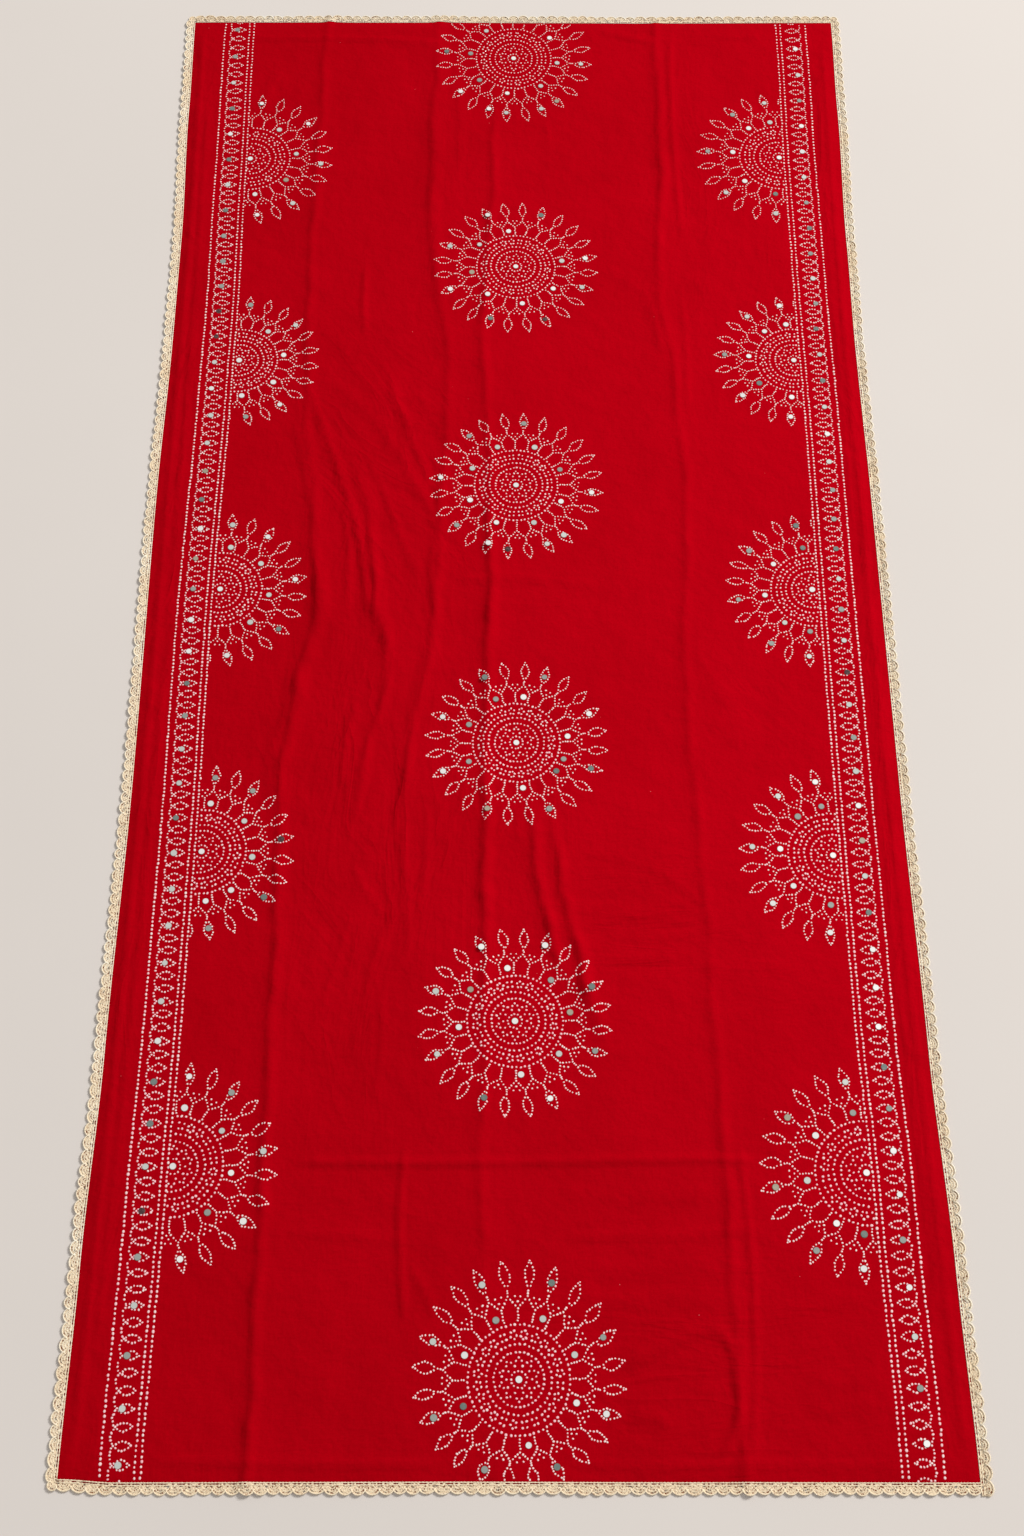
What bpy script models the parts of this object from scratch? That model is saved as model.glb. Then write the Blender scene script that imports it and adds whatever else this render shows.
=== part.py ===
"""Bandhani cloth lying flat: a red sheet with low folds, a lace edging and sixteen sewn-on mirrors."""

from collections import namedtuple
from math import sqrt

import bmesh
import bpy

# Driving sizes, in metres. X runs across the cloth, Y along it, and Z up from the surface it lies on.
LENGTH = 2.16
WIDTH = 1.00
CLOTH_THICK = 0.001
ROWS = 42
ROW_CLEARANCE = 1.6  # how many half-widths a plain row keeps from the crest of a cross fold

# The cloth's edge and the lace's header follow one curve with different points, so they are set a little
# further apart at those points than the 0.3 mm that is left between them where their chords come closest.
LACE_GAP = 0.00055
LACE_WIDTH = 0.0145
LACE_THICK = 0.0015
SCALLOP_PITCH = 0.0153
SCALLOP_DEPTH = 0.0032
POINTS_PER_SCALLOP = 3
SCALLOPS_PER_HEADER_POINT = 4
ROUND_CORNER = 0.009
SQUARE_CORNER = 0.002

MIRROR_GAP = 0.0003
MIRROR_RADIUS = 0.0044
MIRROR_THICK = 0.0008
MIRROR_SIDES = 10
SHARP_ANGLE = 0.7  # in radians: a mirror's rim stays sharp and its round side is shaded smooth

# How far each long edge lies from the middle line, along the cloth.
LongEdge = namedtuple("LongEdge", "at left right")
LONG_EDGES = (
    LongEdge(at=1.08, left=0.4985, right=0.4985),
    LongEdge(at=0.90, left=0.4958, right=0.4952),
    LongEdge(at=0.64, left=0.4895, right=0.4893),
    LongEdge(at=0.45, left=0.4890, right=0.4872),
    LongEdge(at=0.20, left=0.4920, right=0.4888),
    LongEdge(at=-0.25, left=0.4893, right=0.4888),
    LongEdge(at=-0.60, left=0.4935, right=0.4925),
    LongEdge(at=-0.85, left=0.4993, right=0.4990),
    LongEdge(at=-1.08, left=0.5028, right=0.5028),
)

# How far each short edge lies from the middle, across the cloth.
ShortEdge = namedtuple("ShortEdge", "at top bottom")
SHORT_EDGES = (
    ShortEdge(at=0.50, top=1.0815, bottom=1.0815),
    ShortEdge(at=0.20, top=1.0795, bottom=1.0806),
    ShortEdge(at=-0.10, top=1.0800, bottom=1.0794),
    ShortEdge(at=-0.44, top=1.0796, bottom=1.0795),
    ShortEdge(at=-0.50, top=1.0792, bottom=1.0760),
)

# The long folds, from left to right: where each crest lies, how high it stands and half its width.
Section = namedtuple("Section", "at crest height half_width")
LONG_FOLDS = (
    (  # the left storage fold
        Section(at=1.08, crest=-0.292, height=0.0010, half_width=0.012),
        Section(at=0.50, crest=-0.290, height=0.0016, half_width=0.013),
        Section(at=0.24, crest=-0.284, height=0.0020, half_width=0.014),
        Section(at=0.06, crest=-0.258, height=0.0036, half_width=0.018),
        Section(at=-0.12, crest=-0.290, height=0.0040, half_width=0.019),
        Section(at=-0.40, crest=-0.295, height=0.0030, half_width=0.015),
        Section(at=-1.08, crest=-0.297, height=0.0030, half_width=0.015),
    ),
    (  # the wrinkle between the left folds
        Section(at=0.30, crest=-0.232, height=0.0000, half_width=0.014),
        Section(at=0.16, crest=-0.188, height=0.0024, half_width=0.015),
        Section(at=0.04, crest=-0.180, height=0.0032, half_width=0.018),
        Section(at=-0.05, crest=-0.160, height=0.0024, half_width=0.015),
        Section(at=-0.16, crest=-0.170, height=0.0000, half_width=0.012),
    ),
    (  # the middle-left fold
        Section(at=1.02, crest=-0.117, height=0.0014, half_width=0.015),
        Section(at=0.68, crest=-0.114, height=0.0022, half_width=0.016),
        Section(at=0.40, crest=-0.090, height=0.0014, half_width=0.014),
        Section(at=0.05, crest=-0.098, height=0.0026, half_width=0.015),
        Section(at=-0.26, crest=-0.134, height=0.0020, half_width=0.013),
        Section(at=-0.60, crest=-0.130, height=0.0000, half_width=0.012),
    ),
    (  # the middle fold
        Section(at=1.00, crest=-0.030, height=0.0000, half_width=0.012),
        Section(at=0.78, crest=-0.029, height=0.0020, half_width=0.013),
        Section(at=0.40, crest=-0.037, height=0.0018, half_width=0.013),
        Section(at=0.04, crest=-0.028, height=0.0036, half_width=0.016),
        Section(at=-0.36, crest=-0.035, height=0.0036, half_width=0.017),
        Section(at=-0.60, crest=-0.037, height=0.0012, half_width=0.013),
        Section(at=-1.00, crest=-0.036, height=0.0000, half_width=0.012),
    ),
    (  # the inner ripple
        Section(at=-0.24, crest=0.014, height=0.0000, half_width=0.011),
        Section(at=-0.33, crest=0.020, height=0.0030, half_width=0.012),
        Section(at=-0.42, crest=0.036, height=0.0034, half_width=0.012),
        Section(at=-0.52, crest=0.060, height=0.0000, half_width=0.011),
    ),
    (  # the outer ripple
        Section(at=-0.22, crest=0.042, height=0.0000, half_width=0.012),
        Section(at=-0.36, crest=0.051, height=0.0030, half_width=0.013),
        Section(at=-0.48, crest=0.076, height=0.0042, half_width=0.016),
        Section(at=-0.62, crest=0.106, height=0.0000, half_width=0.014),
    ),
    (  # the right storage fold
        Section(at=1.06, crest=0.224, height=0.0016, half_width=0.014),
        Section(at=0.80, crest=0.228, height=0.0026, half_width=0.015),
        Section(at=0.52, crest=0.220, height=0.0018, half_width=0.014),
        Section(at=0.20, crest=0.236, height=0.0016, half_width=0.012),
        Section(at=-0.08, crest=0.222, height=0.0014, half_width=0.012),
        Section(at=-0.55, crest=0.242, height=0.0014, half_width=0.012),
        Section(at=-1.08, crest=0.264, height=0.0026, half_width=0.015),
    ),
)

# Plain columns of the sheet between the folds, as distances from the middle line.
PLAIN_COLUMNS = (-0.390, 0.160, 0.370)

# The folds that run across, each fading out over its last stretch.
CrossFold = namedtuple("CrossFold", "at left right height half_width fade")
CROSS_FOLDS = (
    CrossFold(at=-0.722, left=-0.250, right=0.240, height=0.0026, half_width=0.013, fade=0.05),
    CrossFold(at=-0.811, left=0.060, right=0.270, height=0.0016, half_width=0.012, fade=0.04),
)

# The four lengths of lace: the edge each follows, its side, and how its two ends turn the corner.
Strip = namedtuple("Strip", "name edge side low_corner high_corner")
LACE_STRIPS = (
    Strip("lace_left", edge="left", side=-1, low_corner=ROUND_CORNER, high_corner=ROUND_CORNER),
    Strip("lace_right", edge="right", side=1, low_corner=SQUARE_CORNER, high_corner=ROUND_CORNER),
    Strip("lace_top", edge="top", side=1, low_corner=0.0, high_corner=0.0),
    Strip("lace_bottom", edge="bottom", side=-1, low_corner=0.0, high_corner=0.0),
)

# The mirrors at the medallions' centres: how far in from the edge each line runs, and the places along it.
MirrorLine = namedtuple("MirrorLine", "name edge side inset places")
MIRROR_LINES = (
    MirrorLine("mid", edge=None, side=0, inset=0.0, places=(1.005, 0.595, 0.215, -0.181, -0.556, -0.972)),
    MirrorLine("left", edge="left", side=-1, inset=0.0960, places=(0.800, 0.426, 0.048, -0.334, -0.732)),
    MirrorLine("right", edge="right", side=1, inset=0.0925, places=(0.803, 0.426, 0.047, -0.340, -0.742)),
)

Finish = namedtuple("Finish", "color roughness metallic")
RED_COTTON = Finish(color=(0.43, 0.002, 0.008, 1.0), roughness=0.85, metallic=0.0)
ECRU_THREAD = Finish(color=(0.78, 0.68, 0.50, 1.0), roughness=0.90, metallic=0.0)
FOIL_MIRROR = Finish(color=(0.82, 0.84, 0.82, 1.0), roughness=0.15, metallic=1.0)


def clear_scene():
    for item in list(bpy.data.objects):
        bpy.data.objects.remove(item, do_unlink=True)


def make_material(name, finish):
    material = bpy.data.materials.new(name)
    material.use_nodes = True
    shader = material.node_tree.nodes["Principled BSDF"]
    shader.inputs["Base Color"].default_value = finish.color
    shader.inputs["Roughness"].default_value = finish.roughness
    shader.inputs["Metallic"].default_value = finish.metallic
    return material


def reading(table, column, at):
    """The value of a table's column at a place, eased smoothly from row to row and level past the ends."""
    rows = sorted(table, key=lambda row: row.at)
    if at <= rows[0].at:
        return getattr(rows[0], column)
    for low, high in zip(rows, rows[1:]):
        if at <= high.at:
            share = (at - low.at) / (high.at - low.at)
            eased = share * share * (3 - 2 * share)
            start = getattr(low, column)
            return start + (getattr(high, column) - start) * eased
    return getattr(rows[-1], column)


def long_edge(edge, along):
    return reading(LONG_EDGES, edge, along)


def short_edge(edge, across):
    return reading(SHORT_EDGES, edge, across)


def fold_column(fold, offset):
    """A column of the sheet that follows a fold: its place across and its rise, for any place along."""

    def place(along):
        return reading(fold, "crest", along) + offset * reading(fold, "half_width", along)

    def rise(along):
        return reading(fold, "height", along) if offset == 0 else 0.0

    return place, rise


def plain_column(across):
    return lambda along: across, lambda along: 0.0


def sheet_columns():
    """Every column from the left edge to the right, as pairs of place and rise."""
    columns = [fold_column(fold, offset) for fold in LONG_FOLDS for offset in (-1, 0, 1)]
    columns += [plain_column(across) for across in PLAIN_COLUMNS]
    columns.sort(key=lambda column: column[0](0.0))
    left = (lambda along: -long_edge("left", along), lambda along: 0.0)
    right = (lambda along: long_edge("right", along), lambda along: 0.0)
    return [left] + columns + [right]


def sheet_rows():
    """The places along the cloth of its rows, from the bottom to the top, with three at each cross fold."""
    rows = []
    for number in range(ROWS + 1):
        along = LENGTH * (number / ROWS - 0.5)
        if all(abs(along - fold.at) > ROW_CLEARANCE * fold.half_width for fold in CROSS_FOLDS):
            rows.append(along)
    for fold in CROSS_FOLDS:
        rows += [fold.at - fold.half_width, fold.at, fold.at + fold.half_width]
    return sorted(rows)


def cross_rise(across, along):
    """How high the cross folds stand at a point: only on their crests, fading out at both ends."""
    for fold in CROSS_FOLDS:
        if along == fold.at:
            inside = min(across - fold.left, fold.right - across)
            return fold.height * min(max(inside / fold.fade, 0.0), 1.0)
    return 0.0


def sheet_point(column, along, end):
    """A point of the sheet's underside. end is -1 on the bottom row, 1 on the top row and 0 between."""
    place, rise = column
    across = place(along)
    if end:
        edge = short_edge("top" if end > 0 else "bottom", across)
        return across, end * edge, rise(along)
    return across, along, max(rise(along), cross_rise(across, along))


def grid_numbers(vert, columns, rows):
    """Which column and row a vertex of a fresh unit grid stands in."""
    return round((vert.co.x + 0.5) * columns), round((vert.co.y + 0.5) * rows)


def add_object(name, bm, material, collection):
    mesh = bpy.data.meshes.new(name)
    bm.to_mesh(mesh)
    bm.free()
    mesh.materials.append(material)
    piece = bpy.data.objects.new(name, mesh)
    collection.objects.link(piece)
    return piece


def thicken(piece, thickness):
    """Grow a sheet upwards from its underside."""
    shell = piece.modifiers.new("Thickness", "SOLIDIFY")
    shell.thickness = thickness
    shell.offset = 1.0


def make_cloth(collection, material):
    columns = sheet_columns()
    rows = sheet_rows()
    last_column = len(columns) - 1
    last_row = len(rows) - 1
    bm = bmesh.new()
    bmesh.ops.create_grid(bm, x_segments=last_column, y_segments=last_row, size=0.5)
    for vert in bm.verts:
        column, row = grid_numbers(vert, last_column, last_row)
        end = (row == last_row) - (row == 0)
        vert.co = sheet_point(columns[column], rows[row], end)
    cloth = add_object("cloth", bm, material, collection)
    thicken(cloth, CLOTH_THICK)


def lace_reach(number, from_low, from_high, strip):
    """How far the lace reaches from its header at one point: scallops, cut round at the corners."""
    reach = LACE_WIDTH if number % POINTS_PER_SCALLOP else LACE_WIDTH - SCALLOP_DEPTH
    for distance, radius in ((from_low, strip.low_corner), (from_high, strip.high_corner)):
        short_by = radius - max(distance, 0.0)
        if short_by > 0:
            reach = min(reach, LACE_WIDTH - radius + sqrt(radius**2 - short_by**2))
    return reach


def strip_ends(strip):
    """Where a strip starts and stops: the side strips pass the corners and the end strips fit between."""
    if strip.edge in ("left", "right"):
        corner = strip.side * WIDTH / 2
        beyond = LACE_GAP + LACE_WIDTH
        return -short_edge("bottom", corner) - beyond, short_edge("top", corner) + beyond
    end = LENGTH / 2 if strip.edge == "top" else -LENGTH / 2
    return -long_edge("left", end), long_edge("right", end)


def strip_point(strip, along, reach):
    """A point of a strip, from its place along the edge and its distance out from the header line."""
    if strip.edge in ("left", "right"):
        return strip.side * (long_edge(strip.edge, along) + LACE_GAP + reach), along, 0.0
    return along, strip.side * (short_edge(strip.edge, along) + LACE_GAP + reach), 0.0


def make_lace(collection, material, strip):
    low, high = strip_ends(strip)
    scallops = round((high - low) / SCALLOP_PITCH)
    segments = scallops * POINTS_PER_SCALLOP
    bm = bmesh.new()
    bmesh.ops.create_grid(bm, x_segments=segments, y_segments=1, size=0.5)
    spare = []
    for vert in bm.verts:
        number, outer = grid_numbers(vert, segments, 1)
        along = low + (high - low) * number / segments
        reach = lace_reach(number, along - low, high - along, strip) if outer else 0.0
        vert.co = strip_point(strip, along, reach)
        at_header_point = number % (POINTS_PER_SCALLOP * SCALLOPS_PER_HEADER_POINT) == 0
        if not outer and not at_header_point and number != segments:
            spare.append(vert)
    bmesh.ops.dissolve_verts(bm, verts=spare)
    bm.normal_update()
    facing_down = [face for face in bm.faces if face.normal.z < 0]
    bmesh.ops.reverse_faces(bm, faces=facing_down)
    lace = add_object(strip.name, bm, material, collection)
    thicken(lace, LACE_THICK)


def make_mirror(collection, material, name, across, along):
    height = CLOTH_THICK + MIRROR_GAP + MIRROR_THICK / 2
    bpy.ops.mesh.primitive_cylinder_add(
        vertices=MIRROR_SIDES, radius=MIRROR_RADIUS, depth=MIRROR_THICK, location=(across, along, height)
    )
    mirror = bpy.context.object
    mirror.name = name
    mirror.data.materials.append(material)
    mirror.data.shade_smooth()
    mirror.data.set_sharp_from_angle(angle=SHARP_ANGLE)
    for owner in mirror.users_collection:
        owner.objects.unlink(mirror)
    collection.objects.link(mirror)


def make_mirrors(collection, material):
    for line in MIRROR_LINES:
        for number, along in enumerate(line.places, start=1):
            across = line.side * (long_edge(line.edge, along) - line.inset) if line.edge else 0.0
            make_mirror(collection, material, f"mirror_{line.name}_{number}", across, along)


def main():
    clear_scene()
    collection = bpy.data.collections.new("bandhani_cloth")
    bpy.context.scene.collection.children.link(collection)
    make_cloth(collection, make_material("red cotton", RED_COTTON))
    ecru = make_material("ecru thread", ECRU_THREAD)
    for strip in LACE_STRIPS:
        make_lace(collection, ecru, strip)
    make_mirrors(collection, make_material("foil mirror", FOIL_MIRROR))


main()
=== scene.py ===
"""Looks of the bandhani cloth: a thin red sheet with soft folds, tied dots, foil mirrors and crochet lace."""

from collections import namedtuple
from math import cos, pi, radians, sin

import bmesh
import bpy
import numpy as np
from mathutils import Matrix, Vector


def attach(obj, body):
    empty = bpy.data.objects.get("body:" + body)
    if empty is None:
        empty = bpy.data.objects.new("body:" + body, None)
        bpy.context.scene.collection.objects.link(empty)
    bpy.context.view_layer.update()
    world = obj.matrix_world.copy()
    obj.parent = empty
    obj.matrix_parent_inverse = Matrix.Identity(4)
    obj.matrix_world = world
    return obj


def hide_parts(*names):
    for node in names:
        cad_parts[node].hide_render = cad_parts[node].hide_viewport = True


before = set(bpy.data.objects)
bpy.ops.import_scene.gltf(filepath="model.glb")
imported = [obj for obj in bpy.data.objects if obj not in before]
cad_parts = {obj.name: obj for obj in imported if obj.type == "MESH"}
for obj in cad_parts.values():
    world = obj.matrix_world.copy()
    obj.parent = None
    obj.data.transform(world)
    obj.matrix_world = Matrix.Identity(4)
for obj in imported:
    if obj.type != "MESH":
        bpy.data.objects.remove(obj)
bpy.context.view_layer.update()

MM = 0.001
rng = np.random.default_rng(14)

# ---------------------------------------------------------------- the sheet

# In metres: X runs across the cloth, Y along it, and Z up from the surface it lies on.
LENGTH = 2.16
WIDTH = 1.00
SHEET_THICK = 0.00045
TUCK = 0.0026  # how far the cloth's edge reaches in under the lace

# The sheet's rows and columns are closer together where its folds and wrinkles are.
Band = namedtuple("Band", "low high step")
COLUMN_BANDS = (
    Band(low=-0.500, high=-0.455, step=0.0042),
    Band(low=-0.455, high=-0.312, step=0.0080),
    Band(low=-0.312, high=-0.085, step=0.0037),
    Band(low=-0.085, high=-0.050, step=0.0062),
    Band(low=-0.050, high=0.112, step=0.0037),
    Band(low=0.112, high=0.205, step=0.0064),
    Band(low=0.205, high=0.275, step=0.0037),
    Band(low=0.275, high=0.455, step=0.0082),
    Band(low=0.455, high=0.500, step=0.0042),
)
ROW_BANDS = (
    Band(low=-1.080, high=-1.045, step=0.0050),
    Band(low=-1.045, high=-0.900, step=0.0075),
    Band(low=-0.900, high=-0.835, step=0.0080),
    Band(low=-0.835, high=-0.790, step=0.0058),
    Band(low=-0.790, high=-0.738, step=0.0088),
    Band(low=-0.738, high=-0.712, step=0.0037),
    Band(low=-0.712, high=-0.520, step=0.0120),
    Band(low=-0.520, high=-0.330, step=0.0064),
    Band(low=-0.330, high=0.044, step=0.0116),
    Band(low=0.044, high=0.084, step=0.0054),
    Band(low=0.084, high=1.030, step=0.0116),
    Band(low=1.030, high=1.080, step=0.0056),
)

# How far each long edge lies from the middle line, along the cloth.
LongEdge = namedtuple("LongEdge", "at left right")
LONG_EDGES = (
    LongEdge(at=-1.08, left=0.5028, right=0.5028),
    LongEdge(at=-0.85, left=0.4993, right=0.4990),
    LongEdge(at=-0.60, left=0.4935, right=0.4925),
    LongEdge(at=-0.25, left=0.4893, right=0.4888),
    LongEdge(at=0.20, left=0.4920, right=0.4888),
    LongEdge(at=0.45, left=0.4890, right=0.4872),
    LongEdge(at=0.64, left=0.4895, right=0.4893),
    LongEdge(at=0.90, left=0.4958, right=0.4952),
    LongEdge(at=1.08, left=0.4985, right=0.4985),
)

# How far each short edge lies from the middle, across the cloth.
ShortEdge = namedtuple("ShortEdge", "at top bottom")
SHORT_EDGES = (
    ShortEdge(at=-0.50, top=1.0792, bottom=1.0760),
    ShortEdge(at=-0.44, top=1.0796, bottom=1.0795),
    ShortEdge(at=-0.10, top=1.0800, bottom=1.0794),
    ShortEdge(at=0.20, top=1.0795, bottom=1.0806),
    ShortEdge(at=0.50, top=1.0815, bottom=1.0815),
)

# The long folds, from left to right, each read from the bottom up: where its crest lies, how high it
# stands and how wide it is on each side.
Section = namedtuple("Section", "at crest height half_width")
LONG_FOLDS = (
    (  # the left storage fold
        Section(at=-1.08, crest=-0.297, height=0.0020, half_width=0.0085),
        Section(at=-0.40, crest=-0.297, height=0.0018, half_width=0.0085),
        Section(at=-0.25, crest=-0.302, height=0.0018, half_width=0.0100),
        Section(at=-0.12, crest=-0.288, height=0.0028, half_width=0.0125),
        Section(at=0.02, crest=-0.262, height=0.0028, half_width=0.0125),
        Section(at=0.16, crest=-0.274, height=0.0017, half_width=0.0100),
        Section(at=0.32, crest=-0.292, height=0.0012, half_width=0.0090),
        Section(at=0.58, crest=-0.298, height=0.0012, half_width=0.0085),
        Section(at=1.08, crest=-0.292, height=0.0011, half_width=0.0080),
    ),
    (  # the wrinkle between the left folds
        Section(at=-0.16, crest=-0.172, height=0.0000, half_width=0.0080),
        Section(at=-0.05, crest=-0.170, height=0.0016, half_width=0.0100),
        Section(at=0.04, crest=-0.186, height=0.0021, half_width=0.0115),
        Section(at=0.16, crest=-0.200, height=0.0014, half_width=0.0095),
        Section(at=0.30, crest=-0.236, height=0.0000, half_width=0.0090),
    ),
    (  # the middle-left fold
        Section(at=-0.60, crest=-0.130, height=0.0000, half_width=0.0080),
        Section(at=-0.26, crest=-0.142, height=0.0011, half_width=0.0080),
        Section(at=0.05, crest=-0.106, height=0.0015, half_width=0.0090),
        Section(at=0.40, crest=-0.094, height=0.0009, half_width=0.0090),
        Section(at=0.68, crest=-0.122, height=0.0016, half_width=0.0130),
        Section(at=0.84, crest=-0.122, height=0.0019, half_width=0.0140),
        Section(at=1.02, crest=-0.116, height=0.0010, half_width=0.0120),
    ),
    (  # the middle fold
        Section(at=-1.00, crest=-0.036, height=0.0000, half_width=0.0080),
        Section(at=-0.74, crest=-0.044, height=0.0010, half_width=0.0080),
        Section(at=-0.56, crest=-0.040, height=0.0010, half_width=0.0080),
        Section(at=-0.36, crest=-0.040, height=0.0026, half_width=0.0100),
        Section(at=-0.16, crest=-0.040, height=0.0016, half_width=0.0090),
        Section(at=0.04, crest=-0.034, height=0.0026, half_width=0.0095),
        Section(at=0.26, crest=-0.036, height=0.0012, half_width=0.0080),
        Section(at=0.46, crest=-0.046, height=0.0014, half_width=0.0080),
        Section(at=0.78, crest=-0.031, height=0.0013, half_width=0.0080),
        Section(at=1.00, crest=-0.030, height=0.0000, half_width=0.0080),
    ),
    (  # the inner ripple
        Section(at=-0.54, crest=0.066, height=0.0000, half_width=0.0090),
        Section(at=-0.44, crest=0.042, height=0.0024, half_width=0.0085),
        Section(at=-0.35, crest=0.022, height=0.0022, half_width=0.0085),
        Section(at=-0.24, crest=0.016, height=0.0000, half_width=0.0090),
    ),
    (  # the outer ripple
        Section(at=-0.62, crest=0.108, height=0.0000, half_width=0.0100),
        Section(at=-0.50, crest=0.082, height=0.0030, half_width=0.0110),
        Section(at=-0.37, crest=0.054, height=0.0020, half_width=0.0090),
        Section(at=-0.24, crest=0.042, height=0.0000, half_width=0.0090),
    ),
    (  # the right storage fold
        Section(at=-1.08, crest=0.248, height=0.0012, half_width=0.0085),
        Section(at=-0.76, crest=0.242, height=0.0014, half_width=0.0085),
        Section(at=-0.50, crest=0.236, height=0.0009, half_width=0.0080),
        Section(at=-0.08, crest=0.222, height=0.0009, half_width=0.0080),
        Section(at=0.20, crest=0.234, height=0.0011, half_width=0.0080),
        Section(at=0.40, crest=0.226, height=0.0011, half_width=0.0085),
        Section(at=0.56, crest=0.208, height=0.0011, half_width=0.0090),
        Section(at=0.80, crest=0.221, height=0.0019, half_width=0.0095),
        Section(at=1.06, crest=0.221, height=0.0010, half_width=0.0085),
    ),
)
STEEP_SIDE = 0.70  # a fold's left flank, as a share of its half width
GENTLE_SIDE = 1.45  # and its right flank
SHOULDER_REACH = 2.8  # every fold stands on a low swell, so many times as wide
SHOULDER_SHARE = 0.50  # and this high against the fold
FOLD_LOFT = 1.42  # how far the folds have sprung up over the heights above
CREASE_LOFT = 2.0  # and the creases over the heights below

# Every fold wanders a little and swells and sinks as it runs: the length of a sway, how far it goes, and by
# what share the fold's height changes.
Sway = namedtuple("Sway", "length shift swell")
SWAYS = (
    Sway(length=0.171, shift=0.0016, swell=0.18),
    Sway(length=0.067, shift=0.0010, swell=0.18),
    Sway(length=0.029, shift=0.0006, swell=0.08),
)
SWAY_OFFSET = 1.9  # keeps each fold's sways out of step with its neighbour's
SWELL_PACE = 1.3  # the swells come a little faster than the sways

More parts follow.
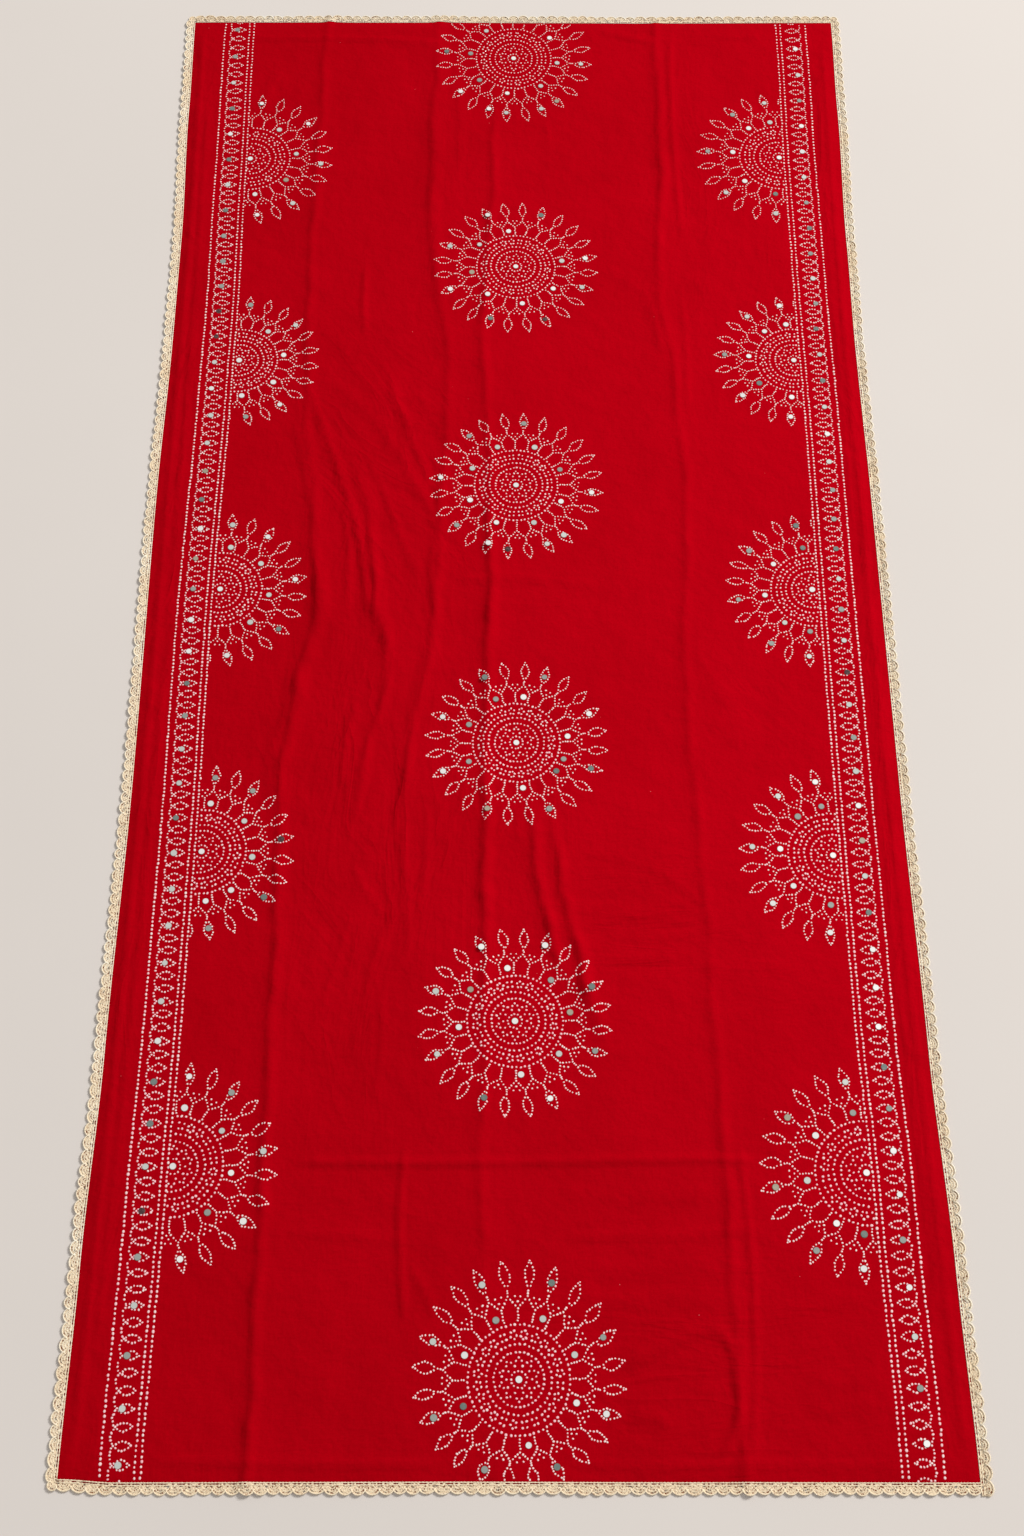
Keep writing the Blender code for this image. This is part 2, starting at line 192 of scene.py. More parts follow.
# The smaller creases, placed one by one, each through a few points in metres. Their heights and half widths,
# and the distance over which their ends fade, are in millimetres.
Crease = namedtuple("Crease", "height half_width fade points")
CREASES = (
    # the folds that run across
    Crease(
        1.3, 8.0, 30, ((-0.262, -0.727), (-0.100, -0.729), (0.060, -0.727), (0.180, -0.724), (0.285, -0.726))
    ),
    Crease(1.1, 6.0, 30, ((0.050, -0.816), (0.140, -0.812), (0.200, -0.814), (0.285, -0.806))),
    Crease(0.9, 6.0, 30, ((-0.275, -0.809), (-0.190, -0.813), (-0.110, -0.822))),
    Crease(1.1, 7.0, 15, ((-0.080, 0.062), (-0.010, 0.067), (0.052, 0.062))),
    Crease(0.7, 7.0, 15, ((0.050, 0.059), (0.110, 0.057))),
    Crease(0.7, 7.0, 25, ((-0.235, -0.765), (-0.150, -0.770), (-0.105, -0.764))),
    Crease(0.8, 7.5, 25, ((0.040, -0.764), (0.110, -0.772), (0.180, -0.762), (0.270, -0.768))),
    # beside the right storage fold
    Crease(0.9, 8.0, 35, ((0.130, 0.588), (0.178, 0.566), (0.200, 0.515), (0.212, 0.430))),
    Crease(0.9, 7.0, 50, ((0.245, 1.062), (0.240, 0.930), (0.242, 0.790), (0.248, 0.650))),
    Crease(0.6, 7.0, 40, ((0.240, 0.560), (0.246, 0.450), (0.243, 0.330))),
    Crease(0.6, 7.0, 30, ((0.232, -0.040), (0.262, -0.100), (0.300, -0.175))),
    Crease(0.9, 6.5, 40, ((0.258, -0.700), (0.267, -0.800), (0.268, -0.920), (0.256, -1.072))),
    # the loop of creases at the bottom right
    Crease(
        1.9, 8.0, 20, ((0.115, -0.962), (0.165, -0.936), (0.210, -0.917), (0.234, -0.925), (0.242, -0.955))
    ),
    Crease(1.7, 8.0, 20, ((0.240, -0.945), (0.246, -0.994), (0.240, -1.030), (0.216, -1.060))),
    Crease(1.5, 7.5, 15, ((0.118, -1.012), (0.154, -1.008), (0.166, -1.030))),
    Crease(0.9, 7.0, 12, ((0.110, -1.036), (0.145, -1.046))),
    Crease(1.0, 7.5, 20, ((0.060, -0.880), (0.110, -0.888), (0.170, -0.882), (0.236, -0.888))),
    Crease(0.9, 7.5, 20, ((0.080, -0.850), (0.140, -0.856), (0.190, -0.846), (0.262, -0.852))),
    Crease(0.9, 7.0, 20, ((0.290, -0.900), (0.340, -0.890), (0.400, -0.884))),
    Crease(0.8, 7.0, 20, ((0.310, -0.972), (0.360, -0.978), (0.410, -0.970))),
    Crease(0.6, 6.5, 20, ((0.330, -1.005), (0.400, -1.003))),
    # the forked crease over the lowest medallion
    Crease(
        1.2, 6.5, 30, ((-0.132, -0.701), (-0.136, -0.765), (-0.137, -0.806), (-0.132, -0.874), (-0.129, -0.918))
    ),
    Crease(1.1, 6.5, 15, ((-0.128, -0.838), (-0.112, -0.868), (-0.092, -0.902))),
    # diagonal wrinkles left of the middle
    Crease(1.0, 7.0, 30, ((-0.262, 0.470), (-0.212, 0.410), (-0.167, 0.340), (-0.112, 0.300))),
    Crease(1.1, 7.0, 30, ((-0.250, 0.380), (-0.192, 0.321), (-0.128, 0.205), (-0.100, 0.150))),
    Crease(0.9, 6.5, 25, ((-0.140, 0.378), (-0.115, 0.321), (-0.074, 0.262))),
    Crease(1.2, 7.0, 25, ((-0.182, 0.402), (-0.150, 0.312), (-0.115, 0.220))),
    Crease(1.1, 5.8, 20, ((-0.190, 0.105), (-0.186, 0.050), (-0.190, -0.005))),
    Crease(1.1, 5.8, 20, ((-0.273, 0.105), (-0.266, 0.050), (-0.268, -0.005))),
    Crease(1.6, 7.5, 30, ((-0.290, 0.372), (-0.246, 0.250), (-0.212, 0.141), (-0.194, 0.000))),
    Crease(1.0, 7.0, 25, ((-0.208, 0.262), (-0.173, 0.192), (-0.154, 0.116), (-0.122, 0.064))),
    Crease(0.8, 7.0, 25, ((-0.310, 0.334), (-0.295, 0.257), (-0.276, 0.167))),
    Crease(0.9, 7.0, 25, ((-0.236, 0.180), (-0.222, 0.100), (-0.226, 0.020))),
    Crease(0.8, 6.5, 25, ((-0.150, 0.230), (-0.120, 0.180), (-0.105, 0.120))),
    Crease(0.7, 6.5, 20, ((-0.110, 0.130), (-0.116, 0.060), (-0.100, -0.010))),
    Crease(1.1, 6.5, 20, ((-0.216, 0.600), (-0.219, 0.530), (-0.213, 0.470))),
    Crease(1.1, 6.5, 15, ((-0.195, 0.032), (-0.177, -0.021), (-0.160, -0.046))),
    Crease(1.0, 7.0, 25, ((-0.165, -0.074), (-0.174, -0.133), (-0.198, -0.205), (-0.203, -0.290))),
    Crease(1.0, 7.0, 20, ((-0.288, -0.120), (-0.320, -0.200), (-0.308, -0.280))),
    Crease(0.9, 7.0, 25, ((-0.205, -0.120), (-0.226, -0.200), (-0.212, -0.270))),
    Crease(0.9, 6.5, 25, ((-0.135, -0.175), (-0.142, -0.240), (-0.157, -0.315))),
    Crease(0.8, 6.5, 20, ((-0.192, -0.165), (-0.190, -0.225), (-0.200, -0.262))),
    Crease(0.8, 6.5, 25, ((-0.115, -0.280), (-0.111, -0.340), (-0.118, -0.400))),
    Crease(0.7, 6.5, 20, ((-0.208, -0.350), (-0.180, -0.400), (-0.160, -0.425))),
    Crease(0.6, 6.5, 25, ((-0.146, -0.400), (-0.172, -0.460), (-0.186, -0.530))),
    Crease(0.6, 6.5, 25, ((-0.205, -0.420), (-0.222, -0.490), (-0.240, -0.545))),
    Crease(0.6, 6.5, 25, ((-0.140, -0.530), (-0.190, -0.590), (-0.235, -0.640))),
    Crease(0.5, 6.0, 25, ((-0.170, -0.500), (-0.160, -0.570), (-0.168, -0.650))),
    # fine wrinkles that fan in to the right storage fold
    Crease(0.8, 6.0, 25, ((0.078, -0.336), (0.141, -0.344), (0.199, -0.372), (0.237, -0.412))),
    Crease(0.7, 6.0, 25, ((0.074, -0.386), (0.154, -0.384), (0.238, -0.424))),
    Crease(0.7, 6.0, 20, ((0.086, -0.430), (0.167, -0.416), (0.237, -0.437))),
    Crease(0.6, 6.0, 20, ((0.104, -0.450), (0.192, -0.442), (0.240, -0.453))),
    Crease(0.7, 6.0, 20, ((0.080, -0.483), (0.167, -0.474), (0.244, -0.486), (0.300, -0.493))),
    Crease(0.5, 6.0, 20, ((0.115, -0.506), (0.218, -0.496))),
    Crease(0.5, 6.5, 20, ((0.255, -0.474), (0.320, -0.486), (0.376, -0.494))),
    # short creases near the corners and the top
    Crease(0.9, 6.5, 15, ((-0.410, -0.980), (-0.400, -1.026), (-0.372, -1.056))),
    Crease(1.2, 8.0, 14, ((-0.386, 0.900), (-0.364, 0.976))),
    Crease(1.1, 8.0, 12, ((-0.364, 0.976), (-0.346, 0.930))),
    Crease(1.0, 8.0, 12, ((-0.360, 0.878), (-0.341, 0.930), (-0.310, 0.922))),
    Crease(0.7, 6.0, 20, ((0.360, 1.075), (0.385, 1.030), (0.405, 0.990))),
    Crease(0.5, 7.0, 40, ((-0.085, 0.965), (-0.082, 0.860), (-0.078, 0.755))),
    Crease(0.5, 6.5, 20, ((0.048, 0.880), (0.056, 0.810))),
    # the hems, and the lines pressed beside them
    Crease(
        1.1, 5.5, 50,
        (
            (-0.488, -1.060), (-0.4815, -0.700), (-0.4755, -0.200),
            (-0.4765, 0.300), (-0.476, 0.640), (-0.484, 1.060),
        ),
    ),
    Crease(0.6, 5.5, 40, ((-0.474, -0.960), (-0.463, -0.500), (-0.461, -0.080))),
    Crease(0.6, 5.5, 40, ((-0.461, 0.180), (-0.460, 0.520), (-0.468, 0.930))),
    Crease(
        1.0, 5.5, 50,
        ((0.489, -1.060), (0.480, -0.700), (0.473, -0.250), (0.473, 0.300), (0.473, 0.600), (0.482, 1.050)),
    ),
    Crease(0.6, 5.5, 40, ((0.476, -0.900), (0.464, -0.520), (0.461, -0.220))),
    Crease(0.6, 5.5, 40, ((0.462, 0.120), (0.461, 0.560), (0.470, 0.980))),
    Crease(1.2, 6.5, 20, ((-0.412, -1.0565), (-0.250, -1.0610), (-0.085, -1.0620))),
    Crease(0.8, 6.0, 20, ((0.060, -1.0630), (0.240, -1.0640), (0.420, -1.0640))),
    Crease(1.4, 6.5, 25, ((-0.410, 1.044), (-0.218, 1.045), (-0.135, 1.038), (-0.095, 1.020))),
    Crease(1.2, 6.5, 15, ((0.130, 1.062), (0.180, 1.050), (0.226, 1.034))),
    Crease(0.5, 6.0, 25, ((0.255, 1.052), (0.430, 1.050))),
)

# Very low waves that lie all over the cloth: length of a wave and its direction, height and phase.
Wave = namedtuple("Wave", "length direction height phase")
WAVES = (
    Wave(length=0.210, direction=8, height=0.00070, phase=0.4),
    Wave(length=0.134, direction=-14, height=0.00044, phase=2.1),
    Wave(length=0.093, direction=5, height=0.00028, phase=4.0),
    Wave(length=0.310, direction=76, height=0.00060, phase=1.2),
    Wave(length=0.172, direction=101, height=0.00030, phase=5.1),
)
STILL_EDGE = 0.012  # the waves and creases die out over this distance from the edge

# Where the cloth is finely wrinkled, by the way the wrinkles run: the middle of each patch, how far it
# reaches and how strong it is.
Patch = namedtuple("Patch", "x y reach_x reach_y strength")
WRINKLES = {
    "lengthwise": (
        Patch(-0.470, 0.00, 0.030, 1.60, 0.9),
        Patch(0.468, 0.00, 0.028, 1.60, 0.9),
        Patch(-0.180, -0.25, 0.120, 0.22, 0.9),
        Patch(-0.160, -0.55, 0.100, 0.20, 0.6),
        Patch(-0.240, 0.10, 0.060, 0.22, 0.7),
        Patch(-0.110, 0.75, 0.070, 0.24, 0.4),
        Patch(0.240, 0.75, 0.050, 0.36, 0.5),
        Patch(0.330, 0.70, 0.100, 0.30, 0.3),
        Patch(0.250, -0.90, 0.040, 0.20, 0.6),
        Patch(0.000, -0.30, 0.080, 0.24, 0.5),
        Patch(-0.330, -0.30, 0.050, 0.30, 0.4),
    ),
    "slanting": (
        Patch(-0.200, 0.30, 0.110, 0.22, 1.0),
        Patch(-0.110, 0.12, 0.080, 0.18, 0.7),
        Patch(-0.230, -0.45, 0.080, 0.20, 0.7),
        Patch(-0.370, 0.92, 0.060, 0.08, 0.7),
        Patch(0.290, -0.13, 0.060, 0.10, 0.4),
    ),
    "crosswise": (
        Patch(0.160, -0.42, 0.110, 0.11, 1.0),
        Patch(0.200, -0.95, 0.170, 0.12, 0.9),
        Patch(-0.180, -0.80, 0.110, 0.08, 0.5),
        Patch(0.330, -0.50, 0.080, 0.06, 0.4),
        Patch(-0.050, -1.06, 0.420, 0.02, 0.6),
        Patch(0.000, 1.05, 0.450, 0.03, 0.5),
        Patch(0.020, 0.05, 0.100, 0.05, 0.4),
    ),
}


def eased(at, places, values):
    """Values read between rows of a table, eased smoothly from one to the next and level past the ends."""
    places = np.asarray(places)
    values = np.asarray(values)
    low = np.clip(np.searchsorted(places, at, side="right") - 1, 0, len(places) - 2)
    share = np.clip((at - places[low]) / (places[low + 1] - places[low]), 0.0, 1.0)
    return values[low] + (values[low + 1] - values[low]) * share * share * (3 - 2 * share)


def reading(table, column, at):
    return eased(at, [row.at for row in table], [getattr(row, column) for row in table])


def ramp(value):
    """Rises smoothly from 0 to 1 as value does, and stays level past both."""
    value = np.clip(value, 0.0, 1.0)
    return value * value * (3 - 2 * value)


def sheet_place(across, along):
    """Where a point of the flat cloth lies: both arguments run from 0 to 1, edge to edge."""
    y = (along - 0.5) * LENGTH
    left = reading(LONG_EDGES, "left", y) + TUCK
    right = reading(LONG_EDGES, "right", y) + TUCK
    x = -left + (left + right) * across
    top = reading(SHORT_EDGES, "top", x) + TUCK
    bottom = reading(SHORT_EDGES, "bottom", x) + TUCK
    return x, -bottom + (top + bottom) * along


def sheet_shares(x, y):
    """The other way round: the shares across and along at a place, kept inside the cloth."""
    top = reading(SHORT_EDGES, "top", x) + TUCK
    bottom = reading(SHORT_EDGES, "bottom", x) + TUCK
    along = np.clip((y + bottom) / (top + bottom), 0.0, 1.0)
    nominal = (along - 0.5) * LENGTH
    left = reading(LONG_EDGES, "left", nominal) + TUCK
    right = reading(LONG_EDGES, "right", nominal) + TUCK
    return np.clip((x + left) / (left + right), 0.0, 1.0), along


def band_shares(bands):
    """The places of the sheet's rows or columns, from 0 at one edge to 1 at the other."""
    places = [bands[0].low]
    for band in bands:
        steps = round((band.high - band.low) / band.step)
        places += list(np.linspace(band.low, band.high, steps + 1)[1:])
    places = np.array(places)
    return (places - places[0]) / (places[-1] - places[0])


def smooth_line(points):
    """A line through a few points with its corners rounded off."""
    line = np.array(points)
    for _ in range(3):
        quarter = line[:-1] * 0.75 + line[1:] * 0.25
        three_quarters = line[:-1] * 0.25 + line[1:] * 0.75
        inner = np.stack([quarter, three_quarters], axis=1).reshape(-1, 2)
        line = np.concatenate([line[:1], inner, line[-1:]])
    return line


def fold_rise(x, y, fold, number):
    """The height of one long fold, steeper on its left flank than on its right."""
    crest = reading(fold, "crest", y)
    height = reading(fold, "height", y)
    for step, sway in enumerate(SWAYS):
        wave = 2 * pi * y / sway.length + number * (SWAY_OFFSET + step)
        crest = crest + sway.shift * np.sin(wave)
        height = height * (1 + sway.swell * np.sin(SWELL_PACE * wave + step))
    off = x - crest
    wide = reading(fold, "half_width", y) * np.where(off < 0, STEEP_SIDE, GENTLE_SIDE)
    ridge = np.clip(1 - (off / wide) ** 2, 0.0, 1.0) ** 2
    shoulder = np.clip(1 - (off / (wide * SHOULDER_REACH)) ** 2, 0.0, 1.0) ** 2
    return FOLD_LOFT * height * (ridge + SHOULDER_SHARE * shoulder)


def crease_rise(x, y, crease):
    """The height of one small crease over its smoothed line, fading out at both ends."""
    wide = crease.half_width * MM
    line = smooth_line(crease.points)
    low = line.min(axis=0) - wide
    high = line.max(axis=0) + wide
    rise = np.zeros_like(x)
    close = (x > low[0]) & (x < high[0]) & (y > low[1]) & (y < high[1])
    px = x[close]
    py = y[close]
    nearest = np.full_like(px, 1.0)
    run = np.zeros_like(px)
    travelled = 0.0
    for start, end in zip(line, line[1:]):
        step = end - start
        length = np.hypot(*step)
        share = np.clip(((px - start[0]) * step[0] + (py - start[1]) * step[1]) / length**2, 0.0, 1.0)
        away = np.hypot(px - start[0] - share * step[0], py - start[1] - share * step[1])
        run = np.where(away < nearest, travelled + share * length, run)
        nearest = np.minimum(nearest, away)
        travelled += length
    fade = min(crease.fade * MM, travelled / 2)
    ends = ramp(run / fade) * ramp((travelled - run) / fade)
    rise[close] = CREASE_LOFT * crease.height * MM * np.clip(1 - (nearest / wide) ** 2, 0.0, 1.0) ** 2 * ends
    return rise


def sheet_rise(x, y):
    """How high the underside of the sheet stands over the surface it lies on."""
    low_waves = np.zeros_like(x)
    for wave in WAVES:
        turn = radians(wave.direction)
        phase = 2 * pi * (x * cos(turn) + y * sin(turn)) / wave.length + wave.phase
        low_waves += wave.height * (1 + np.sin(phase)) / 2
    across, along = sheet_shares(x, y)
    from_edge = np.minimum(np.minimum(across, 1 - across) * WIDTH, np.minimum(along, 1 - along) * LENGTH)
    rise = sum(fold_rise(x, y, fold, number) for number, fold in enumerate(LONG_FOLDS))
    small = low_waves + sum(crease_rise(x, y, crease) for crease in CREASES)
    return np.maximum(rise + small * ramp(from_edge / STILL_EDGE), 0.0)


row_places = band_shares(ROW_BANDS)
column_places = band_shares(COLUMN_BANDS)
grid_x, grid_y = sheet_place(*np.meshgrid(column_places, row_places))
grid_z = sheet_rise(grid_x, grid_y)


def between(share, places):
    """The number of the row or column before a share of the way, and how far past it that is."""
    place = np.clip(np.interp(share, places, np.arange(len(places))), 0, len(places) - 1 - 1e-9)
    number = place.astype(int)
    return number, place - number


def cloth_top(x, y):
    """The height of the cloth's upper side at any places, read between the points of its own mesh."""
    across, along = sheet_shares(x, y)
    i, u = between(across, column_places)
    j, v = between(along, row_places)
    lower = grid_z[j, i] * (1 - u) + grid_z[j, i + 1] * u
    upper = grid_z[j + 1, i] * (1 - u) + grid_z[j + 1, i + 1] * u
    return lower * (1 - v) + upper * v + SHEET_THICK


# ---------------------------------------------------------------- the tied pattern

# A medallion: where its middle lies in millimetres, its size, its stretch along the cloth, and which of
# its 24 arches and 24 leaves hold a mirror, counted anticlockwise from the right. Where its arches and
# leaves are drawn in or out against its rings, so much across, so much upwards and so much downwards.
FIELDS = "name x y size stretch arch_mirrors leaf_mirrors across up down"
Medallion = namedtuple("Medallion", FIELDS, defaults=(1.0, 1.0, 1.0))
EVERY_THIRD = tuple(range(1, 24, 3))
MEDALLIONS = (
    Medallion("mid_1", 0, 1004.6, 1.01, 1.075, (2, 5, 8, 11, 14, 17, 20, 23), (11, 14, 16, 17, 19, 20, 23)),
    Medallion("mid_2", 2, 595.0, 1.00, 1.00, (0, 6, 9, 12, 15, 18, 21), (0, 4, 7, 10, 13, 16, 19, 22)),
    Medallion("mid_3", 1, 214.5, 1.00, 1.00, EVERY_THIRD, (5, 8, 11, 14, 16, 17, 19, 20, 23)),
    Medallion("mid_4", 0, -181.0, 0.985, 1.00, (0, 5, 7, 10, 13, 18, 21, 22), EVERY_THIRD),
    Medallion("mid_5", -3, -556.0, 1.01, 1.00, (0, 3, 6, 9, 12, 18, 21), EVERY_THIRD, 0.972, 0.986, 0.986),
    Medallion("mid_6", 0, -972.6, 1.00, 1.045, (1, 4, 7, 10, 13, 18, 22), EVERY_THIRD, 1.0, 1.06, 0.92),
    Medallion("left_1", -397.0, 800.3, 1.04, 1.02, (0, 3, 18, 21), (2, 5, 18, 20, 23)),
    Medallion("left_2", -392.0, 425.9, 0.95, 1.00, (0, 3, 18, 21), (2, 5, 18, 20)),
    Medallion("left_3", -395.4, 47.7, 0.97, 1.02, (2, 5, 20, 23), (0, 3, 5, 18, 21)),
    Medallion("left_4", -395.0, -333.8, 0.97, 1.03, (2, 5, 18, 20, 23), (0, 3, 5, 18, 21)),
    Medallion("left_5", -402.2, -732.2, 1.025, 1.02, (2, 5, 20, 23), (0, 3, 5, 18, 21)),
    Medallion("right_1", 400.2, 804.5, 1.04, 1.02, (6, 8, 11, 14, 17), (6, 8, 11, 14, 17)),
    Medallion("right_2", 397.5, 427.0, 0.95, 1.00, (6, 8, 11, 14, 17), (6, 8, 11, 14, 17)),
    Medallion("right_3", 397.5, 48.0, 0.97, 1.02, (6, 9, 12, 15, 17), (6, 9, 12, 15, 17)),
    Medallion("right_4", 396.9, -339.0, 0.99, 1.02, (6, 8, 11, 14, 17), (6, 8, 11, 14, 17)),
    Medallion("right_5", 406.0, -741.0, 1.05, 1.02, (6, 9, 12, 15, 17), (6, 9, 12, 15, 17)),
)

# The rings of a medallion: radius in millimetres, number of dots, how far the first is turned, and the
# size of the dots against the common one.
Ring = namedtuple("Ring", "radius count turn size")
RINGS = (
    Ring(radius=8.7, count=13, turn=10, size=0.86),
    Ring(radius=14.5, count=10, turn=0, size=0.90),
    Ring(radius=19.5, count=10, turn=-9, size=0.90),
    Ring(radius=19.5, count=10, turn=9, size=0.90),
    Ring(radius=22.8, count=10, turn=18, size=0.88),
    Ring(radius=28.2, count=37, turn=0, size=0.93),
    Ring(radius=36.6, count=42, turn=3, size=0.95),
    Ring(radius=57.2, count=69, turn=0, size=0.99),
)
SLOTS = 24
CLUSTER_RADIUS = 46.4
CLUSTER_SIZE = (4.3, 3.6)  # outward and round
ARCH_SIDE = (60.9, 64.1, 67.3, 70.6)
ARCH_SHOULDER = 74.0
ARCH_TIP = 85.6
LEG_SHARES = (0.25, 0.50, 0.75)
TRIAD = ((80.6, 0.0), (85.6, -2.2), (85.6, 2.2))
STEM = (88.4, 91.0)
MEDALLION_LEAF = (93.6, 119.0)
LEAF_LEAN = 2.6
ARCH_SIZE = 0.80
LEAF_SIZE = 0.79
OUTER_START = 60.0  # where the arches begin, beyond the rings
OUTER_TURN = 0.8  # the arches and leaves are turned a little against the rings
ARCH_MIRROR = 67.2
LEAF_MIRROR = 103.6
INNER_TONE = 0.35
OUTER_TONE = 0.84
FAR_TONE = 0.20  # the undyed spots are whiter towards the top end, and pinker towards the bottom

# The left and right borders: where the outer dotted line lies, in millimetres from the middle line.
BorderLine = namedtuple("BorderLine", "at left right")
BORDER_LINES = (
    BorderLine(at=-1.05, left=457.5, right=464.5),
    BorderLine(at=-0.79, left=453.5, right=459.5),
    BorderLine(at=-0.53, left=449.5, right=453.5),
    BorderLine(at=-0.27, left=448.5, right=452.5),
    BorderLine(at=0.00, left=450.5, right=452.5),
    BorderLine(at=0.38, left=445.5, right=453.5),
    BorderLine(at=0.51, left=444.5, right=452.5),
    BorderLine(at=0.77, left=447.5, right=453.5),
    BorderLine(at=1.03, left=450.5, right=457.5),
)

# The spacing along the cloth of the border's leaves and of the dots in its straight lines, in millimetres.
Pitch = namedtuple("Pitch", "at leaf line")
PITCHES = (
    Pitch(at=-1.05, leaf=20.0, line=5.6),
    Pitch(at=-0.90, leaf=18.2, line=5.5),
    Pitch(at=-0.70, leaf=17.0, line=5.4),
    Pitch(at=-0.40, leaf=16.2, line=5.2),
    Pitch(at=0.10, leaf=15.8, line=5.1),
    Pitch(at=0.50, leaf=15.1, line=5.5),
    Pitch(at=0.75, leaf=16.5, line=5.9),
    Pitch(at=0.95, leaf=17.6, line=6.2),
    Pitch(at=1.05, leaf=19.0, line=6.2),
)

# Each border: its side, its inner double line, how far in its mirrors lie, and the place along the cloth
# of one leaf that has a mirror.
Border = namedtuple("Border", "name side inner_lines mirror_in mirror_leaf")
BORDERS = (
    Border("left", side=-1, inner_lines=(38.0, 44.9), mirror_in=19.2, mirror_leaf=-0.047),
    Border("right", side=1, inner_lines=(39.6, 46.4), mirror_in=17.6, mirror_leaf=0.017),
)
GARLAND_IN = 12.4
GARLAND_DEPTH = 3.6
GARLAND_PITCH = 4.3
BORDER_LEAF = (13.2, 31.9)
BORDER_LEAF_HALF_WIDTH = 4.7
LINE_SIZES = (1.12, 1.06, 1.06)
LINE_TONE = 0.6
GARLAND_SIZE = 0.90
GARLAND_TONE = 0.5
BORDER_LEAF_SIZE = 0.88
BORDER_LEAF_TONE = 0.6

DOT_RADIUS = 1.64
DOT_RISE = 0.26
DOT_SINK = 0.10
DOT_TOP = 0.62
DOT_SIDES = 7
NEAR_SIZE = 1.06  # dots are a little bigger towards the bottom end
FAR_SIZE = 0.92
EDGE_CLEAR = 1.2  # no dot lies nearer to the lace than this
BORDER_CLEAR = 2.4  # nor does a medallion's dot lie nearer to a border's inner lines
MIRROR_CLEAR = 0.2  # nor nearer to a mirror's rim
MIRROR_OVERLAP = 6.0  # the middle of a medallion's mirror may lie so far over a border's inner line

MIRROR_RADIUS = 4.25
MIRROR_RISE = 0.70
MIRROR_SINK = 0.05
MIRROR_SIDES = 18
LEAF_MIRROR_SIZE = 0.98

# Painted reflections: the tints painted on the foil for the lighter and darker parts of the room that it would
# reflect, and how common each is in the middle of a medallion, in its arches, and in the leaves.
Foil = namedtuple("Foil", "color middle arch leaf")
PAINTED_REFLECTIONS = (
    Foil(color=(0.97, 0.97, 0.95), middle=1.0, arch=0.48, leaf=0.24),
    Foil(color=(0.68, 0.72, 0.68), middle=0.0, arch=0.27, leaf=0.31),
    Foil(color=(0.36, 0.39, 0.36), middle=0.0, arch=0.17, leaf=0.21),
    Foil(color=(0.19, 0.24, 0.22), middle=0.0, arch=0.06, leaf=0.16),
    Foil(color=(0.45, 0.40, 0.30), middle=0.0, arch=0.02, leaf=0.05),
    Foil(color=(0.070, 0.028, 0.030), middle=0.0, arch=0.00, leaf=0.03),
)
IN_MIDDLE, IN_ARCH, IN_LEAF = range(3)


def dots_at(points, size, tone=OUTER_TONE, upright=0.0):
    """Rows of one dot each: X, Y, size, tone, and whether it is drawn out along the cloth."""
    points = np.asarray(points, dtype=float).reshape(-1, 2)
    return np.column_stack([points, *(np.full(len(points), value) for value in (size, tone, upright))])


def spread(radius, count, turn):
    """The places of dots set evenly round a ring."""
    angles = np.radians(turn + np.arange(count) * 360 / count)
    return np.stack([radius * np.cos(angles), radius * np.sin(angles)], axis=1)


def polar(radius, degrees):
    return np.array([radius * cos(radians(degrees)), radius * sin(radians(degrees))])


def turned(points, degrees):
    turn = radians(degrees)
    x, y = np.asarray(points).T
    return np.stack([x * cos(turn) - y * sin(turn), x * sin(turn) + y * cos(turn)], axis=1)


def leaf_outline(length, half_width, side_dots, lean):
    """A leaf of dots from its base at the origin to its tip on +X, leaning to one side at the tip."""
    shares = (np.arange(side_dots) + 0.55) / (side_dots + 0.25)
    width = half_width * np.sin(pi * shares**0.92)
    bend = lean * shares**1.5
    upper = np.stack([shares * length, width + bend], axis=1)
    lower = np.stack([shares * length, bend - width], axis=1)
    return np.concatenate([upper, lower, [(length, lean)]])


def cluster(angle):
    """One small knot of dots in the band between the second and third rings."""
    count = rng.choice((4, 5, 6), p=(0.40, 0.42, 0.18))
    start = 45 if count == 4 else rng.uniform(0, 72)
    return polar(CLUSTER_RADIUS, angle) + turned(spread(1.0, count, start) * CLUSTER_SIZE, angle)


def arch(angle):
    """The side, the two legs and the tip of one arch, with the knot beside it and its stem."""
    tip_angle = angle + 180 / SLOTS
    shoulder = polar(ARCH_SHOULDER, angle)
    tips = (polar(ARCH_TIP, tip_angle), polar(ARCH_TIP, tip_angle - 360 / SLOTS))
    side = [polar(radius, angle) for radius in ARCH_SIDE] + [shoulder]
    legs = [shoulder + (tip - shoulder) * share for tip in tips for share in LEG_SHARES] + [tips[0]]
    knot = [polar(radius, angle + off) for radius, off in TRIAD]
    stem = [polar(radius, tip_angle) for radius in STEM]
    return turned(np.concatenate([side, legs, knot, stem]), OUTER_TURN)


def medallion_leaf(angle):
    """The leaf that stands on the tip of one arch."""
    start, end = MEDALLION_LEAF
    outline = leaf_outline(end - start, rng.normal(5.4, 0.25), 7, rng.normal(LEAF_LEAN, 0.6))
    return turned(outline + (start, 0), angle + 180 / SLOTS + OUTER_TURN + rng.normal(0, 0.4))


def medallion_dots():
    step = 360 / SLOTS
    rings = [dots_at(spread(ring.radius, ring.count, ring.turn), ring.size, INNER_TONE) for ring in RINGS]
    knots = [dots_at(cluster((slot + 0.5) * step), 0.97, INNER_TONE) for slot in range(SLOTS)]
    arches = [dots_at(arch(slot * step), ARCH_SIZE) for slot in range(SLOTS)]
    leaves = [dots_at(medallion_leaf(slot * step), LEAF_SIZE) for slot in range(SLOTS)]
    return np.concatenate(rings + knots + arches + leaves)


